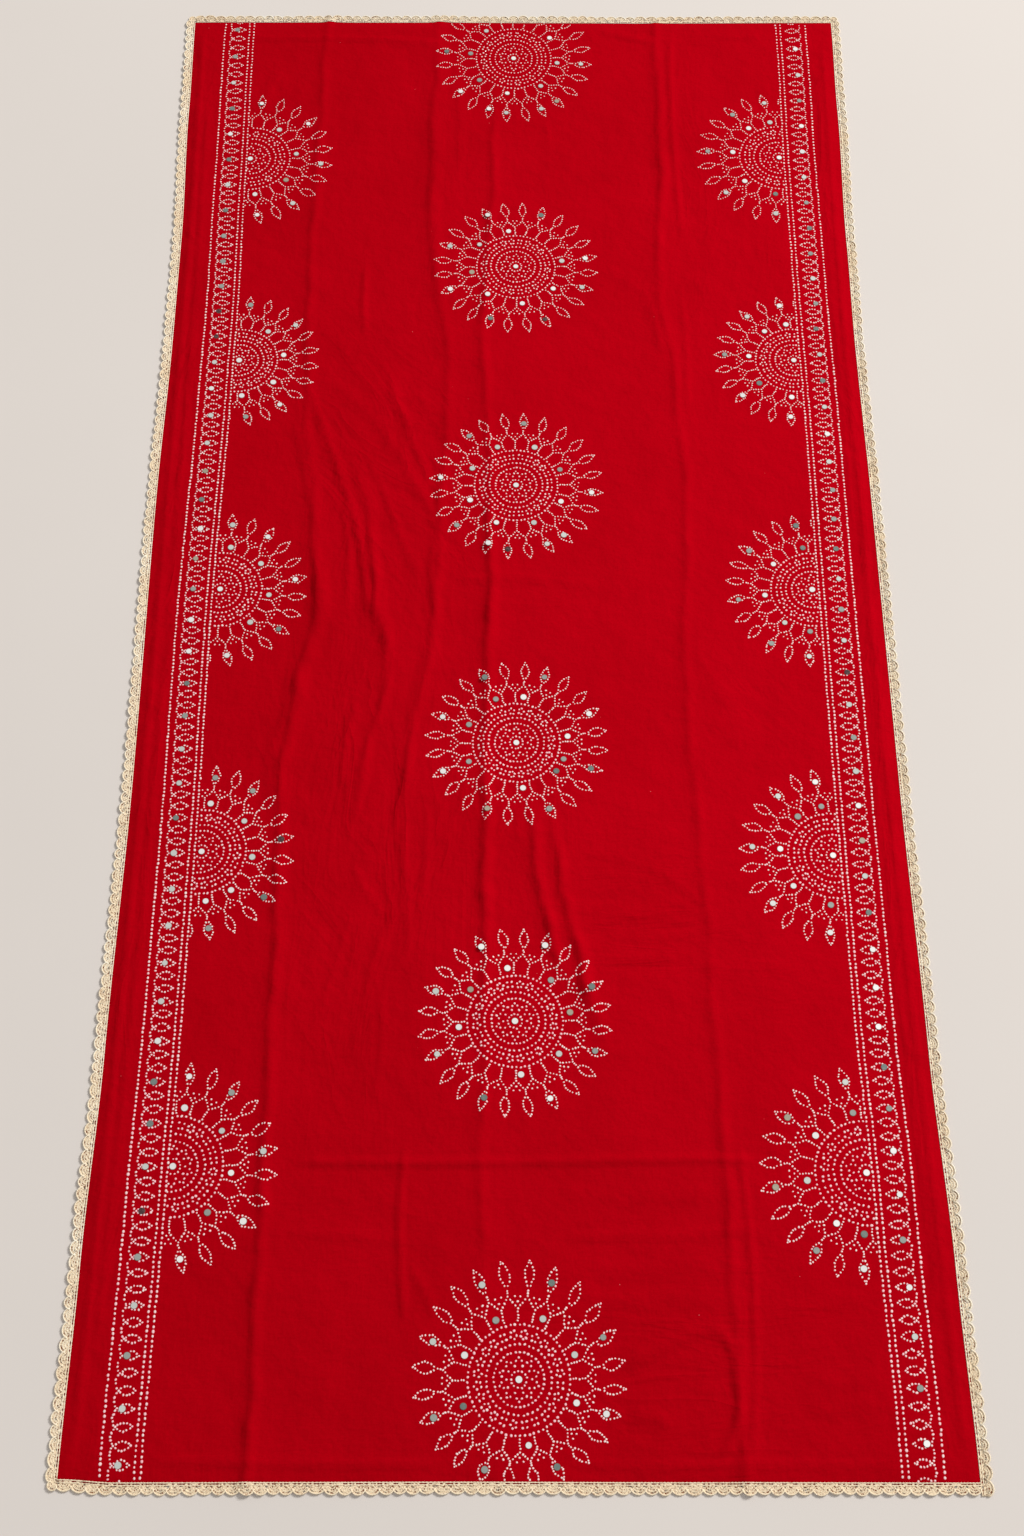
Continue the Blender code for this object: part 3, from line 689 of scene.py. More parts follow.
def medallion_mirrors(medallion):
    """The mirrors of one medallion, the middle one first: X, Y, size and where it is sewn."""
    step = 360 / SLOTS
    rows = [(0.0, 0.0, 1.0, IN_MIDDLE)]
    for slot in medallion.arch_mirrors:
        place = polar(ARCH_MIRROR + rng.normal(0, 0.7), (slot + 0.5) * step + rng.normal(0.3, 1.2))
        rows.append((*place, 1.0, IN_ARCH))
    for slot in medallion.leaf_mirrors:
        place = polar(LEAF_MIRROR + rng.normal(0, 0.6), (slot + 0.5) * step + 1.2)
        rows.append((*place, LEAF_MIRROR_SIZE, IN_LEAF))
    return np.array(rows)


def lay_medallion(rows, medallion):
    """Moves a medallion's dots or mirrors from round the origin to their own place on the cloth."""
    rows = rows.copy()
    x, y = rows[:, :2].T
    outside = ramp((np.hypot(x, y) - OUTER_START) / OUTER_START)
    upright = np.where(y > 0, medallion.up, medallion.down) - 1
    rows[:, 0] = x * (1 + (medallion.across - 1) * outside) * medallion.size + medallion.x
    rows[:, 1] = y * (1 + upright * outside) * medallion.size * medallion.stretch + medallion.y
    return rows


def inside_cloth(rows, margin):
    x, y = rows[:, :2].T * MM
    clear = margin * MM
    return (
        (y < reading(SHORT_EDGES, "top", x) - clear)
        & (y > -reading(SHORT_EDGES, "bottom", x) + clear)
        & (x > -reading(LONG_EDGES, "left", y) + clear)
        & (x < reading(LONG_EDGES, "right", y) - clear)
    )


def border_x(border, along, inward):
    """The place across of a point of a border, from its distance inward of the outer dotted line."""
    return border.side * (reading(BORDER_LINES, border.name, along) - inward)


def inside_borders(rows, margin):
    """Which rows lie between the two borders, clear of their inner lines."""
    x, y = rows[:, :2].T
    left, right = (border_x(border, y * MM, border.inner_lines[1]) for border in BORDERS)
    return (x > left + margin) & (x < right - margin)


def clear_of(rows, mirrors, margin):
    """Which dots lie clear of every mirror."""
    clear = np.ones(len(rows), dtype=bool)
    for x, y, size, _ in mirrors:
        clear &= np.hypot(rows[:, 0] - x, rows[:, 1] - y) > MIRROR_RADIUS * size + margin
    return clear


def walk(start, end, column):
    """Places along the cloth from start to past end, spaced by a column of the table of pitches."""
    places = [start]
    direction = 1 if end > start else -1
    while direction * places[-1] < direction * end:
        places.append(places[-1] + direction * reading(PITCHES, column, places[-1]) * MM)
    return places


def on_border(border, along, inward):
    """Places on a border, from distances along the cloth in metres and inward in millimetres."""
    along, inward = np.broadcast_arrays(along, inward)
    return np.stack([border_x(border, along, inward), along / MM], axis=1)


def border_pattern(border):
    """The dots and mirrors of one border: three dotted lines, a garland and a row of leaves."""
    dots = []
    for inward, size in zip((0.0,) + border.inner_lines, LINE_SIZES):
        along = np.array(walk(-LENGTH / 2 + 0.002 + rng.uniform(0, 0.003), LENGTH / 2, "line"))
        dots.append(dots_at(on_border(border, along, inward), size, LINE_TONE, 1.0))
    below = walk(border.mirror_leaf, -LENGTH / 2, "leaf")
    places = below[:0:-1] + walk(border.mirror_leaf, LENGTH / 2, "leaf")
    for place, following in zip(places, places[1:]):
        count = round((following - place) / (GARLAND_PITCH * MM))
        shares = (np.arange(count) + 0.5) / count
        inward = GARLAND_IN - GARLAND_DEPTH * np.sin(pi * shares) ** 0.8
        points = on_border(border, place + (following - place) * shares, inward)
        dots.append(dots_at(points, GARLAND_SIZE, GARLAND_TONE))
    start, end = BORDER_LEAF
    for place in places:
        outline = leaf_outline(end - start, rng.normal(BORDER_LEAF_HALF_WIDTH, 0.25), 5, rng.normal(0.3, 0.5))
        outline = np.concatenate([outline, [(-0.4, 0.0)]])
        points = on_border(border, place + outline[:, 1] * MM, start + outline[:, 0])
        dots.append(dots_at(points, BORDER_LEAF_SIZE, BORDER_LEAF_TONE))
    with_mirror = np.array(places)[(len(below) - 1) % 3 :: 3]
    mirrors = on_border(border, with_mirror, border.mirror_in + rng.normal(0, 0.7, len(with_mirror)))
    size_and_place = np.tile((LEAF_MIRROR_SIZE, IN_LEAF), (len(mirrors), 1))
    return np.concatenate(dots), np.column_stack([mirrors, size_and_place])


# ---------------------------------------------------------------- meshes from arrays


def take_shape(bm):
    """The points and faces of a small shape made with bmesh, which is then freed."""
    bmesh.ops.recalc_face_normals(bm, faces=bm.faces[:])
    bm.verts.index_update()
    points = np.array([vert.co[:] for vert in bm.verts])
    faces = [[vert.index for vert in face.verts] for face in bm.faces]
    bm.free()
    return points, faces


def disc_shape(sides, top_share):
    """A small round disc of radius 1 and height 1 that narrows to its top."""
    bm = bmesh.new()
    bmesh.ops.create_cone(bm, cap_ends=True, segments=sides, radius1=1.0, radius2=top_share, depth=1.0)
    bmesh.ops.translate(bm, verts=bm.verts[:], vec=(0, 0, 0.5))
    return take_shape(bm)


def cord_shape(steps, sides):
    """A straight cord of so many steps, drawn out of a circle and closed at both ends."""
    bm = bmesh.new()
    ring = bmesh.ops.create_circle(bm, cap_ends=False, segments=sides, radius=1.0)["verts"]
    edges = list({edge for vert in ring for edge in vert.link_edges})
    for _ in range(steps):
        drawn = bmesh.ops.extrude_edge_only(bm, edges=edges)["geom"]
        edges = [part for part in drawn if isinstance(part, bmesh.types.BMEdge)]
        ring = [part for part in drawn if isinstance(part, bmesh.types.BMVert)]
        bmesh.ops.translate(bm, verts=ring, vec=(0, 0, 1))
    bmesh.ops.holes_fill(bm, edges=bm.edges[:], sides=0)
    return take_shape(bm)


def follow_paths(paths, radius, bead, shape):
    """A straight cord bent along many paths at once. paths is an array of paths by steps by X, Y and Z."""
    ahead = np.gradient(paths, axis=1)
    ahead /= np.linalg.norm(ahead, axis=2, keepdims=True)
    sideways = np.cross(ahead, (0.0, 0.0, 1.0))
    sideways /= np.linalg.norm(sideways, axis=2, keepdims=True)
    upward = np.cross(sideways, ahead)
    step = np.rint(shape[:, 2]).astype(int)
    across = shape[None, :, 0:1] * sideways[:, step] + CORD_FLATNESS * shape[None, :, 1:2] * upward[:, step]
    points = paths[:, step] + radius * (1 + bead * np.cos(pi * step))[None, :, None] * across
    points[..., 2] = np.maximum(points[..., 2], 0.0)  # it flattens where it rests on the surface
    return points


def joined_mesh(name, groups):
    """One mesh of many copies. Each group is a shape's faces, and the points of its copies."""
    mesh = bpy.data.meshes.new(name)
    mesh.vertices.add(sum(copies.shape[0] * copies.shape[1] for _, copies in groups))
    mesh.vertices.foreach_set("co", np.concatenate([copies.reshape(-1) for _, copies in groups]))
    corners = []
    starts = []
    points_before = corners_before = 0
    for faces, copies in groups:
        count, points = copies.shape[:2]
        order = np.array([corner for face in faces for corner in face])
        sizes = np.array([len(face) for face in faces])
        firsts = np.cumsum(sizes) - sizes
        each = np.arange(count)[:, None]
        corners.append((points_before + each * points + order).reshape(-1))
        starts.append((corners_before + each * len(order) + firsts).reshape(-1))
        points_before += count * points
        corners_before += count * len(order)
    mesh.loops.add(corners_before)
    mesh.loops.foreach_set("vertex_index", np.concatenate(corners))
    starts = np.concatenate(starts)
    mesh.polygons.add(len(starts))
    mesh.polygons.foreach_set("loop_start", starts)
    mesh.update(calc_edges=True)
    mesh.validate()
    return mesh


def add_piece(name, mesh, material):
    mesh.materials.append(material)
    piece = bpy.data.objects.new(name, mesh)
    bpy.context.scene.collection.objects.link(piece)
    return piece


def shade(mesh, smooth):
    mesh.polygons.foreach_set("use_smooth", np.full(len(mesh.polygons), smooth))


def point_attribute(mesh, name, kind, values):
    field = "color" if kind == "FLOAT_COLOR" else "value"
    attribute = mesh.attributes.new(name, kind, "POINT")
    attribute.data.foreach_set(field, np.ascontiguousarray(values, dtype=np.float32).reshape(-1))


def make_dots(name, rows, material):
    """Tied dots as low domes on the cloth, each a little different in size, shape and place."""
    template, faces = disc_shape(DOT_SIDES, DOT_TOP)
    count = len(rows)
    x, y, size, tone, upright = rows.T
    nearness = eased(y * MM, (-1.0, 1.0), (NEAR_SIZE, FAR_SIZE))
    radius = DOT_RADIUS * MM * size * nearness * np.clip(rng.normal(1.0, 0.10, count), 0.75, 1.25)
    longer = 1 + np.where(upright > 0, rng.uniform(0.06, 0.16, count), rng.uniform(0.0, 0.18, count))
    turn = np.where(upright > 0, pi / 2 + rng.normal(0, 0.15, count), rng.uniform(0, pi, count))
    drift = rng.normal(0, 0.30, (2, count))
    local_x = template[None, :, 0] * (radius * longer)[:, None]
    local_y = template[None, :, 1] * (radius / longer)[:, None]
    px = ((x + drift[0]) * MM)[:, None] + local_x * np.cos(turn)[:, None] - local_y * np.sin(turn)[:, None]
    py = ((y + drift[1]) * MM)[:, None] + local_x * np.sin(turn)[:, None] + local_y * np.cos(turn)[:, None]
    pz = cloth_top(px, py) + (template[:, 2] * (DOT_RISE + DOT_SINK) - DOT_SINK) * MM
    mesh = joined_mesh(name, [(faces, np.stack([px, py, pz], axis=2))])
    shade(mesh, True)
    point_attribute(mesh, "crown", "FLOAT", np.broadcast_to(template[:, 2], (count, len(template))))
    far = eased(y * MM, (-1.0, 1.0), (-FAR_TONE, FAR_TONE))
    tones = np.clip(tone + far + rng.normal(0, 0.22, count), 0, 1)
    point_attribute(mesh, "warmth", "FLOAT", np.repeat(tones, len(template)))
    return add_piece(name, mesh, material)


def make_mirrors(rows, material):
    """Foil mirrors as thin discs with a sloping rim, each tipped a little its own way."""
    template, faces = disc_shape(MIRROR_SIDES, 0.86)
    count = len(rows)
    radius = MIRROR_RADIUS * MM * rows[:, 2] * np.clip(rng.normal(1.0, 0.04, count), 0.9, 1.08)
    local_x = template[None, :, 0] * radius[:, None]
    local_y = template[None, :, 1] * radius[:, None]
    x = rows[:, 0:1] * MM + local_x
    y = rows[:, 1:2] * MM + local_y
    tip = rng.normal(0, 0.02, (2, count))
    seat = cloth_top(x, y).max(axis=1)[:, None] + local_x * tip[0][:, None] + local_y * tip[1][:, None]
    z = seat + (template[:, 2] * (MIRROR_RISE + MIRROR_SINK) - MIRROR_SINK) * MM
    mesh = joined_mesh("mirrors", [(faces, np.stack([x, y, z], axis=2))])
    shade(mesh, False)
    # Painted reflections: each mirror is given one of the painted reflection tints at random, for the part of
    # the room it would reflect.
    kinds = np.zeros(count, dtype=int)
    for sewn, shares in enumerate(("middle", "arch", "leaf")):
        here = rows[:, 3] == sewn
        kinds[here] = rng.choice(len(PAINTED_REFLECTIONS), here.sum(), p=[getattr(foil, shares) for foil in PAINTED_REFLECTIONS])
    colors = np.array([foil.color + (1.0,) for foil in PAINTED_REFLECTIONS])[kinds]
    colors[:, :3] *= rng.uniform(0.86, 1.0, count)[:, None]
    point_attribute(mesh, "foil", "FLOAT_COLOR", np.repeat(colors, len(template), axis=0))
    point_attribute(mesh, "crown", "FLOAT", np.broadcast_to(template[:, 2], (count, len(template))))
    return add_piece("mirrors", mesh, material)


# ---------------------------------------------------------------- the lace

LACE_WIDTH = 14.5
LACE_PLATE = 0.40
SCALLOP_PITCH = 15.3
SCALLOP_COLUMNS = 6
CORNER_RUN = 0.019  # how much lace goes round a rounded corner
CORNER_SHARE = 0.98  # where a length doesn't turn, it goes on past the corner by this share of its width
SCALLOP_REACH = (9.4, 10.2)  # the half width and depth of the oval that rounds a scallop
SCALLOP_BASE = 3.9
RIM_RADIUS = 0.88
ALTERNATE_LIFT = 0.16  # every second scallop lies so much over its neighbours
CORD_FLATNESS = 0.62  # the height of a cord against its width

# How the lace lies: on the cloth at the header, and further out down near the surface and gently curling.
SEAT = 0.06
HEADER_OUT = 3.0
DROP_RUN = 4.0
REST_RISE = 0.50
CURL_OUT = 5.0
CURL_RUN = 10.0
CURL_RISE = 1.5
FOLLOW = 0.7  # how much of the cloth's own rise it follows there

# The rows of the lace's ground, and how likely each column is to be open between this row and the next. The
# first STRAIGHT_ROWS are distances out, and the others are shares of the way on to the scalloped edge.
STRAIGHT_ROWS = 4
GroundRow = namedtuple("GroundRow", "out share open")
GROUND_ROWS = (
    GroundRow(out=0.1, share=0.0, open=(0.0, 0.0, 0.0, 0.0, 0.0, 0.0)),
    GroundRow(out=1.2, share=0.0, open=(0.7, 0.2, 0.5, 0.2, 0.4, 0.4)),
    GroundRow(out=2.6, share=0.0, open=(0.0, 0.0, 0.0, 0.0, 0.0, 0.0)),
    GroundRow(out=3.3, share=0.0, open=(0.2, 0.0, 0.0, 0.0, 0.0, 0.2)),
    GroundRow(out=0.0, share=0.22, open=(0.1, 0.0, 0.1, 0.1, 0.0, 0.1)),
    GroundRow(out=0.0, share=0.42, open=(0.0, 0.1, 0.1, 0.1, 0.1, 0.0)),
    GroundRow(out=0.0, share=0.64, open=(0.0, 0.1, 0.1, 0.1, 0.1, 0.0)),
    GroundRow(out=0.0, share=0.84, open=(0.0, 0.0, 0.0, 0.0, 0.0, 0.0)),
    GroundRow(out=0.0, share=1.0, open=()),
)

# The curved cords of a scallop: its size against the rim's, how far it reaches to each side as a share of
# a scallop, its steps and sides, its radius, how beaded it is and how high it lies.
Arc = namedtuple("Arc", "shrink reach steps sides radius bead lift")
ARCS = (
    Arc(shrink=1.00, reach=0.57, steps=12, sides=5, radius=RIM_RADIUS, bead=0.24, lift=0.20),
    Arc(shrink=0.70, reach=0.40, steps=8, sides=4, radius=0.56, bead=0.40, lift=0.05),
    Arc(shrink=0.42, reach=0.22, steps=6, sides=4, radius=0.54, bead=0.40, lift=0.05),
    Arc(shrink=0.14, reach=0.07, steps=2, sides=4, radius=0.76, bead=0.25, lift=0.05),
)

# The straight cords of the header: how far out, steps to a scallop, sides, radius, beading and lift.
HeaderCord = namedtuple("HeaderCord", "out steps sides radius bead lift")
HEADER_CORDS = (
    HeaderCord(out=0.72, steps=8, sides=5, radius=0.62, bead=0.45, lift=0.05),
    HeaderCord(out=3.25, steps=8, sides=4, radius=0.64, bead=0.45, lift=0.0),
)
RIB_LEANS = (-66, -40, -14, 14, 40, 66)
RIB_REACH = (0.30, 0.96)
RIB_RADIUS = 0.44

# Each length of lace: which edge it follows, and whether it goes round the corner at either end.
Lace = namedtuple("Lace", "name edge side turns_low turns_high")
LACES = (
    Lace("lace_left", edge="left", side=-1, turns_low=True, turns_high=True),
    Lace("lace_right", edge="right", side=1, turns_low=False, turns_high=True),
    Lace("lace_top", edge="top", side=1, turns_low=False, turns_high=False),
    Lace("lace_bottom", edge="bottom", side=-1, turns_low=False, turns_high=False),
)


def long_lace_corners(lace):
    """The places along the cloth where a long length of lace meets its two corners."""
    corner = lace.side * WIDTH / 2
    return -float(reading(SHORT_EDGES, "bottom", corner)), float(reading(SHORT_EDGES, "top", corner))


def lace_ends(lace):
    """Where a length of lace starts and stops, as a run along its edge that goes on round the corners."""
    if lace.edge in ("left", "right"):
        low, high = long_lace_corners(lace)
        beyond = LACE_WIDTH * MM * CORNER_SHARE
        low -= CORNER_RUN if lace.turns_low else beyond
        high += CORNER_RUN if lace.turns_high else beyond
        return low, high
    end = LENGTH / 2 if lace.edge == "top" else -LENGTH / 2
    return -float(reading(LONG_EDGES, "left", end)), float(reading(LONG_EDGES, "right", end))


def lace_place(lace, run, out):
    """Where a point of the lace lies, from its run along the edge and its distance out, both in metres."""
    if lace.edge in ("top", "bottom"):
        return run, lace.side * (reading(SHORT_EDGES, lace.edge, run) + out)
    low, high = long_lace_corners(lace)
    past_low = np.maximum(low - run, 0.0) * lace.turns_low
    past_high = np.maximum(run - high, 0.0) * lace.turns_high
    turn = (past_high - past_low) / CORNER_RUN * pi / 2
    along = run + past_low - past_high
    x = lace.side * (reading(LONG_EDGES, lace.edge, along) + out * np.cos(turn))
    return x, along + out * np.sin(turn)


def lace_point(lace, run, out, over):
    """A point of the lace, on the cloth at the header, then down near the surface and gently curling."""
    x, y = lace_place(lace, run, out)
    on_cloth = cloth_top(*lace_place(lace, run, np.minimum(out, 0.0)))
    away = ramp((out / MM - HEADER_OUT) / DROP_RUN)
    curl = 0.5 + 0.3 * np.sin(run * 21.0 + 1.3 * np.sin(run * 9.0)) + 0.2 * np.sin(run * 130.0)
    lifted = (REST_RISE + CURL_RISE * curl * ramp((out / MM - CURL_OUT) / CURL_RUN)) * MM
    settled = lifted + (on_cloth - SHEET_THICK) * FOLLOW
    z = (on_cloth + SEAT * MM) * (1 - away) + settled * away + over * MM
    return np.stack([x, y, z], axis=-1)


class Scallops:
    """The scallops of one length of lace, with their own uneven widths and depths."""

    def __init__(self, lace, seed):
        self.lace = lace
        self.seed = seed
        self.low, self.high = lace_ends(lace)
        self.count = round((self.high - self.low) / (SCALLOP_PITCH * MM))
        self.depth = np.clip(rng.normal(0.98, 0.04, self.count), 0.88, 1.05)
        self.lean = rng.normal(0, 0.35, self.count)

    def run(self, scallop):
        """A run along the edge from a number of scallops. Scallops made by hand are not all one width."""
        run = self.low + (self.high - self.low) * np.clip(scallop / self.count, 0, 1)
        shift = 1.2 * np.sin(run * 47 + self.seed) + 1.0 * np.sin(run * 91 + 2.0 * self.seed)
        ends = ramp((run - self.low) / 0.03) * ramp((self.high - run) / 0.03)
        return run + shift * MM * ends

    def point(self, scallop, out, over):
        return lace_point(self.lace, self.run(scallop), out * MM, over)

    def edge(self, off, shrink=1.0):
        """How far out an oval of every scallop lies, at distances to either side of its middle."""
        wide, deep = SCALLOP_REACH
        round_share = np.sqrt(np.maximum(1 - (off / (wide * shrink)) ** 2, 0.0))
        return SCALLOP_BASE + deep * shrink * self.depth[:, None] * round_share - RIM_RADIUS

    def arc(self, arc):
        off = np.linspace(-arc.reach, arc.reach, arc.steps + 1)[None, :] * SCALLOP_PITCH
        number = np.arange(self.count)[:, None]
        swing = self.lean[:, None] * (1 - (off / (arc.reach * SCALLOP_PITCH)) ** 2)
        over = arc.lift + LACE_PLATE + ALTERNATE_LIFT * (number % 2)
        return self.point(number + 0.5 + (off + swing) / SCALLOP_PITCH, self.edge(off, arc.shrink), over)

    def rib(self, lean):
        reach = np.array([RIB_REACH])
        off = SCALLOP_REACH[0] * reach * sin(radians(lean))
        out = SCALLOP_BASE + SCALLOP_REACH[1] * self.depth[:, None] * reach * cos(radians(lean)) - RIM_RADIUS
        middle = np.arange(self.count)[:, None] + 0.5
        return self.point(middle + off / SCALLOP_PITCH, out, LACE_PLATE)

    def header(self, cord):
        scallop = np.linspace(0, self.count, self.count * cord.steps + 1)[None, :]
        return self.point(scallop, np.full_like(scallop, cord.out), cord.lift + LACE_PLATE)


def make_lace_ground(scallops):
    """The worked ground of the lace: rows between header and edge, open here and there, as one thin plate."""
    columns = scallops.count * SCALLOP_COLUMNS
    rows = len(GROUND_ROWS) - 1
    bm = bmesh.new()
    bmesh.ops.create_grid(bm, x_segments=columns, y_segments=rows, size=0.5)
    open_faces = []
    for face in bm.faces:
        middle = face.calc_center_median()
        column = int((middle.x + 0.5) * columns) % SCALLOP_COLUMNS
        if rng.random() < GROUND_ROWS[int((middle.y + 0.5) * rows)].open[column]:
            open_faces.append(face)
    column = np.array([round((vert.co.x + 0.5) * columns) for vert in bm.verts])
    row = np.array([round((vert.co.y + 0.5) * rows) for vert in bm.verts])
    scallop = np.minimum(column // SCALLOP_COLUMNS, scallops.count - 1)
    off = (column / SCALLOP_COLUMNS - scallop - 0.5) * SCALLOP_PITCH
    wide, deep = SCALLOP_REACH
    rim = SCALLOP_BASE + deep * scallops.depth[scallop] * np.sqrt(1 - (off / wide) ** 2) - RIM_RADIUS
    out = np.array([ground.out for ground in GROUND_ROWS])[row]
    share = np.array([ground.share for ground in GROUND_ROWS])[row]
    last_straight = GROUND_ROWS[STRAIGHT_ROWS - 1].out
    out = np.where(share > 0, last_straight + (rim - last_straight) * share, out)
    places = scallops.point(column / SCALLOP_COLUMNS, out, 0.0)
    bmesh.ops.delete(bm, geom=open_faces, context="FACES_ONLY")
    for vert, place in zip(bm.verts, places):
        vert.co = place
    bmesh.ops.delete(bm, geom=[vert for vert in bm.verts if not vert.link_faces], context="VERTS")
    bm.normal_update()
    bmesh.ops.reverse_faces(bm, faces=[face for face in bm.faces if face.normal.z < 0])
    bmesh.ops.solidify(bm, geom=bm.faces[:], thickness=-LACE_PLATE * MM)
    return take_shape(bm)


def make_lace(lace, seed, material):
    """A length of crochet lace: its ground, the cords of its header and the arcs and ribs of its scallops."""
    scallops = Scallops(lace, seed)
    ground, ground_faces = make_lace_ground(scallops)
    groups = [(ground_faces, ground[None])]
    cords = [(scallops.arc(arc), arc.radius, arc.sides, arc.bead) for arc in ARCS]
    cords += [(scallops.header(cord), cord.radius, cord.sides, cord.bead) for cord in HEADER_CORDS]
    cords += [(scallops.rib(lean), RIB_RADIUS, 3, 0.0) for lean in RIB_LEANS]
    for paths, radius, sides, bead in cords:
        straight, faces = cord_shape(paths.shape[1] - 1, sides)
        groups.append((faces, follow_paths(paths, radius * MM, bead, straight)))
    mesh = joined_mesh(lace.name + "_worked", groups)
    shade(mesh, True)
    raised = np.ones(len(mesh.vertices))
    raised[: len(ground)] = 0.0
    point_attribute(mesh, "raised", "FLOAT", raised)
    return add_piece(lace.name + "_worked", mesh, material)


# ---------------------------------------------------------------- materials


def set_input(tree, socket, value):
    if isinstance(value, bpy.types.NodeSocket):
        tree.links.new(value, socket)
    else:
        socket.default_value = value


def node(tree, kind, settings=None, **inputs):
    """A shader node with its settings, its input values and its input links given by name."""
    made = tree.nodes.new(kind)
    for name, value in (settings or {}).items():
        setattr(made, name, value)
    for name, value in inputs.items():
        set_input(tree, made.inputs[name.replace("_", " ")], value)
    return made


def math_node(tree, operation, first, second=0.5):
    made = tree.nodes.new("ShaderNodeMath")
    made.operation = operation
    set_input(tree, made.inputs[0], first)
    set_input(tree, made.inputs[1], second)
    return made.outputs[0]


def times(tree, *values):
    product = values[0]
    for value in values[1:]:
        product = math_node(tree, "MULTIPLY", product, value)
    return product


def mix_colors(tree, factor, first, second):
    made = tree.nodes.new("ShaderNodeMix")
    made.data_type = "RGBA"
    for number, value in ((0, factor), (6, first), (7, second)):
        set_input(tree, made.inputs[number], value)
    return made.outputs[2]


def spread_range(tree, value, from_low, from_high, to_low=0.0, to_high=1.0):
    limits = {"From_Min": from_low, "From_Max": from_high, "To_Min": to_low, "To_Max": to_high}
    return node(tree, "ShaderNodeMapRange", Value=value, **limits).outputs["Result"]


def noise(tree, place, scale, detail=2.0, roughness=0.5, distortion=0.0):
    made = node(tree, "ShaderNodeTexNoise", Vector=place, Scale=scale, Detail=detail, Roughness=roughness)
    made.inputs["Distortion"].default_value = distortion
    return made.outputs["Fac"]


def attribute(tree, name, output="Fac"):
    return node(tree, "ShaderNodeAttribute", {"attribute_name": name}).outputs[output]


def new_group(name, inputs, outputs):
    tree = bpy.data.node_groups.new(name, "ShaderNodeTree")
    for in_out, sockets in (("INPUT", inputs), ("OUTPUT", outputs)):
        for label, kind in sockets:
            tree.interface.new_socket(label, in_out=in_out, socket_type=kind)
    return tree, tree.nodes.new("NodeGroupInput").outputs, tree.nodes.new("NodeGroupOutput").inputs


def thread_group():
    """Threads crossing over and under: the height of the weave, and how the tone shifts between threads."""
    tree, given, result = new_group(
        "crossed threads",
        (("Vector", "NodeSocketVector"), ("Threads per metre", "NodeSocketFloat")),
        (("Height", "NodeSocketFloat"), ("Tone", "NodeSocketFloat")),
    )
    parts = node(tree, "ShaderNodeSeparateXYZ", Vector=given["Vector"])
    heights = []
    for axis in ("X", "Y"):
        turns = times(tree, parts.outputs[axis], given["Threads per metre"], pi)
        heights.append(math_node(tree, "ABSOLUTE", math_node(tree, "SINE", turns)))
    tree.links.new(times(tree, *heights), result["Height"])
    slubs = []
    for stretch in ((620.0, 36.0, 1.0), (36.0, 620.0, 1.0)):
        stretched = node(tree, "ShaderNodeMapping", Vector=given["Vector"], Scale=stretch)
        slubs.append(noise(tree, stretched.outputs[0], 1.0))
    tree.links.new(times(tree, math_node(tree, "ADD", *slubs), 0.5), result["Tone"])
    return tree


def crinkle_group():
    """Fine sharp-topped wrinkles that run one way, for thin cotton that has been folded and pressed."""
    tree, given, result = new_group(
        "fine wrinkles",
        (("Vector", "NodeSocketVector"), ("Turn", "NodeSocketFloat"), ("Stretch", "NodeSocketVector")),
        (("Height", "NodeSocketFloat"),),
    )
    settings = {"rotation_type": "Z_AXIS"}
    laid = node(tree, "ShaderNodeVectorRotate", settings, Vector=given["Vector"], Angle=given["Turn"])
    scaled = node(tree, "ShaderNodeVectorMath", {"operation": "MULTIPLY"})
    tree.links.new(laid.outputs[0], scaled.inputs[0])
    tree.links.new(given["Stretch"], scaled.inputs[1])
    cloudy = noise(tree, scaled.outputs[0], 1.0, 3.0, 0.55, 0.7)
    off = math_node(tree, "ABSOLUTE", math_node(tree, "SUBTRACT", cloudy, 0.5))
    ridge = spread_range(tree, off, 0.0, 0.20, 1.0, 0.0)
    tree.links.new(math_node(tree, "POWER", ridge, 1.3), result["Height"])
    return tree


def fresh_material(name):
    material = bpy.data.materials.new(name)
    material.use_nodes = True
    tree = material.node_tree
    return material, tree, tree.nodes["Principled BSDF"]


def add_bump(tree, shader, height, strength, distance):
    bump = node(tree, "ShaderNodeBump", Strength=strength, Distance=distance, Height=height)
    tree.links.new(bump.outputs[0], shader.inputs["Normal"])


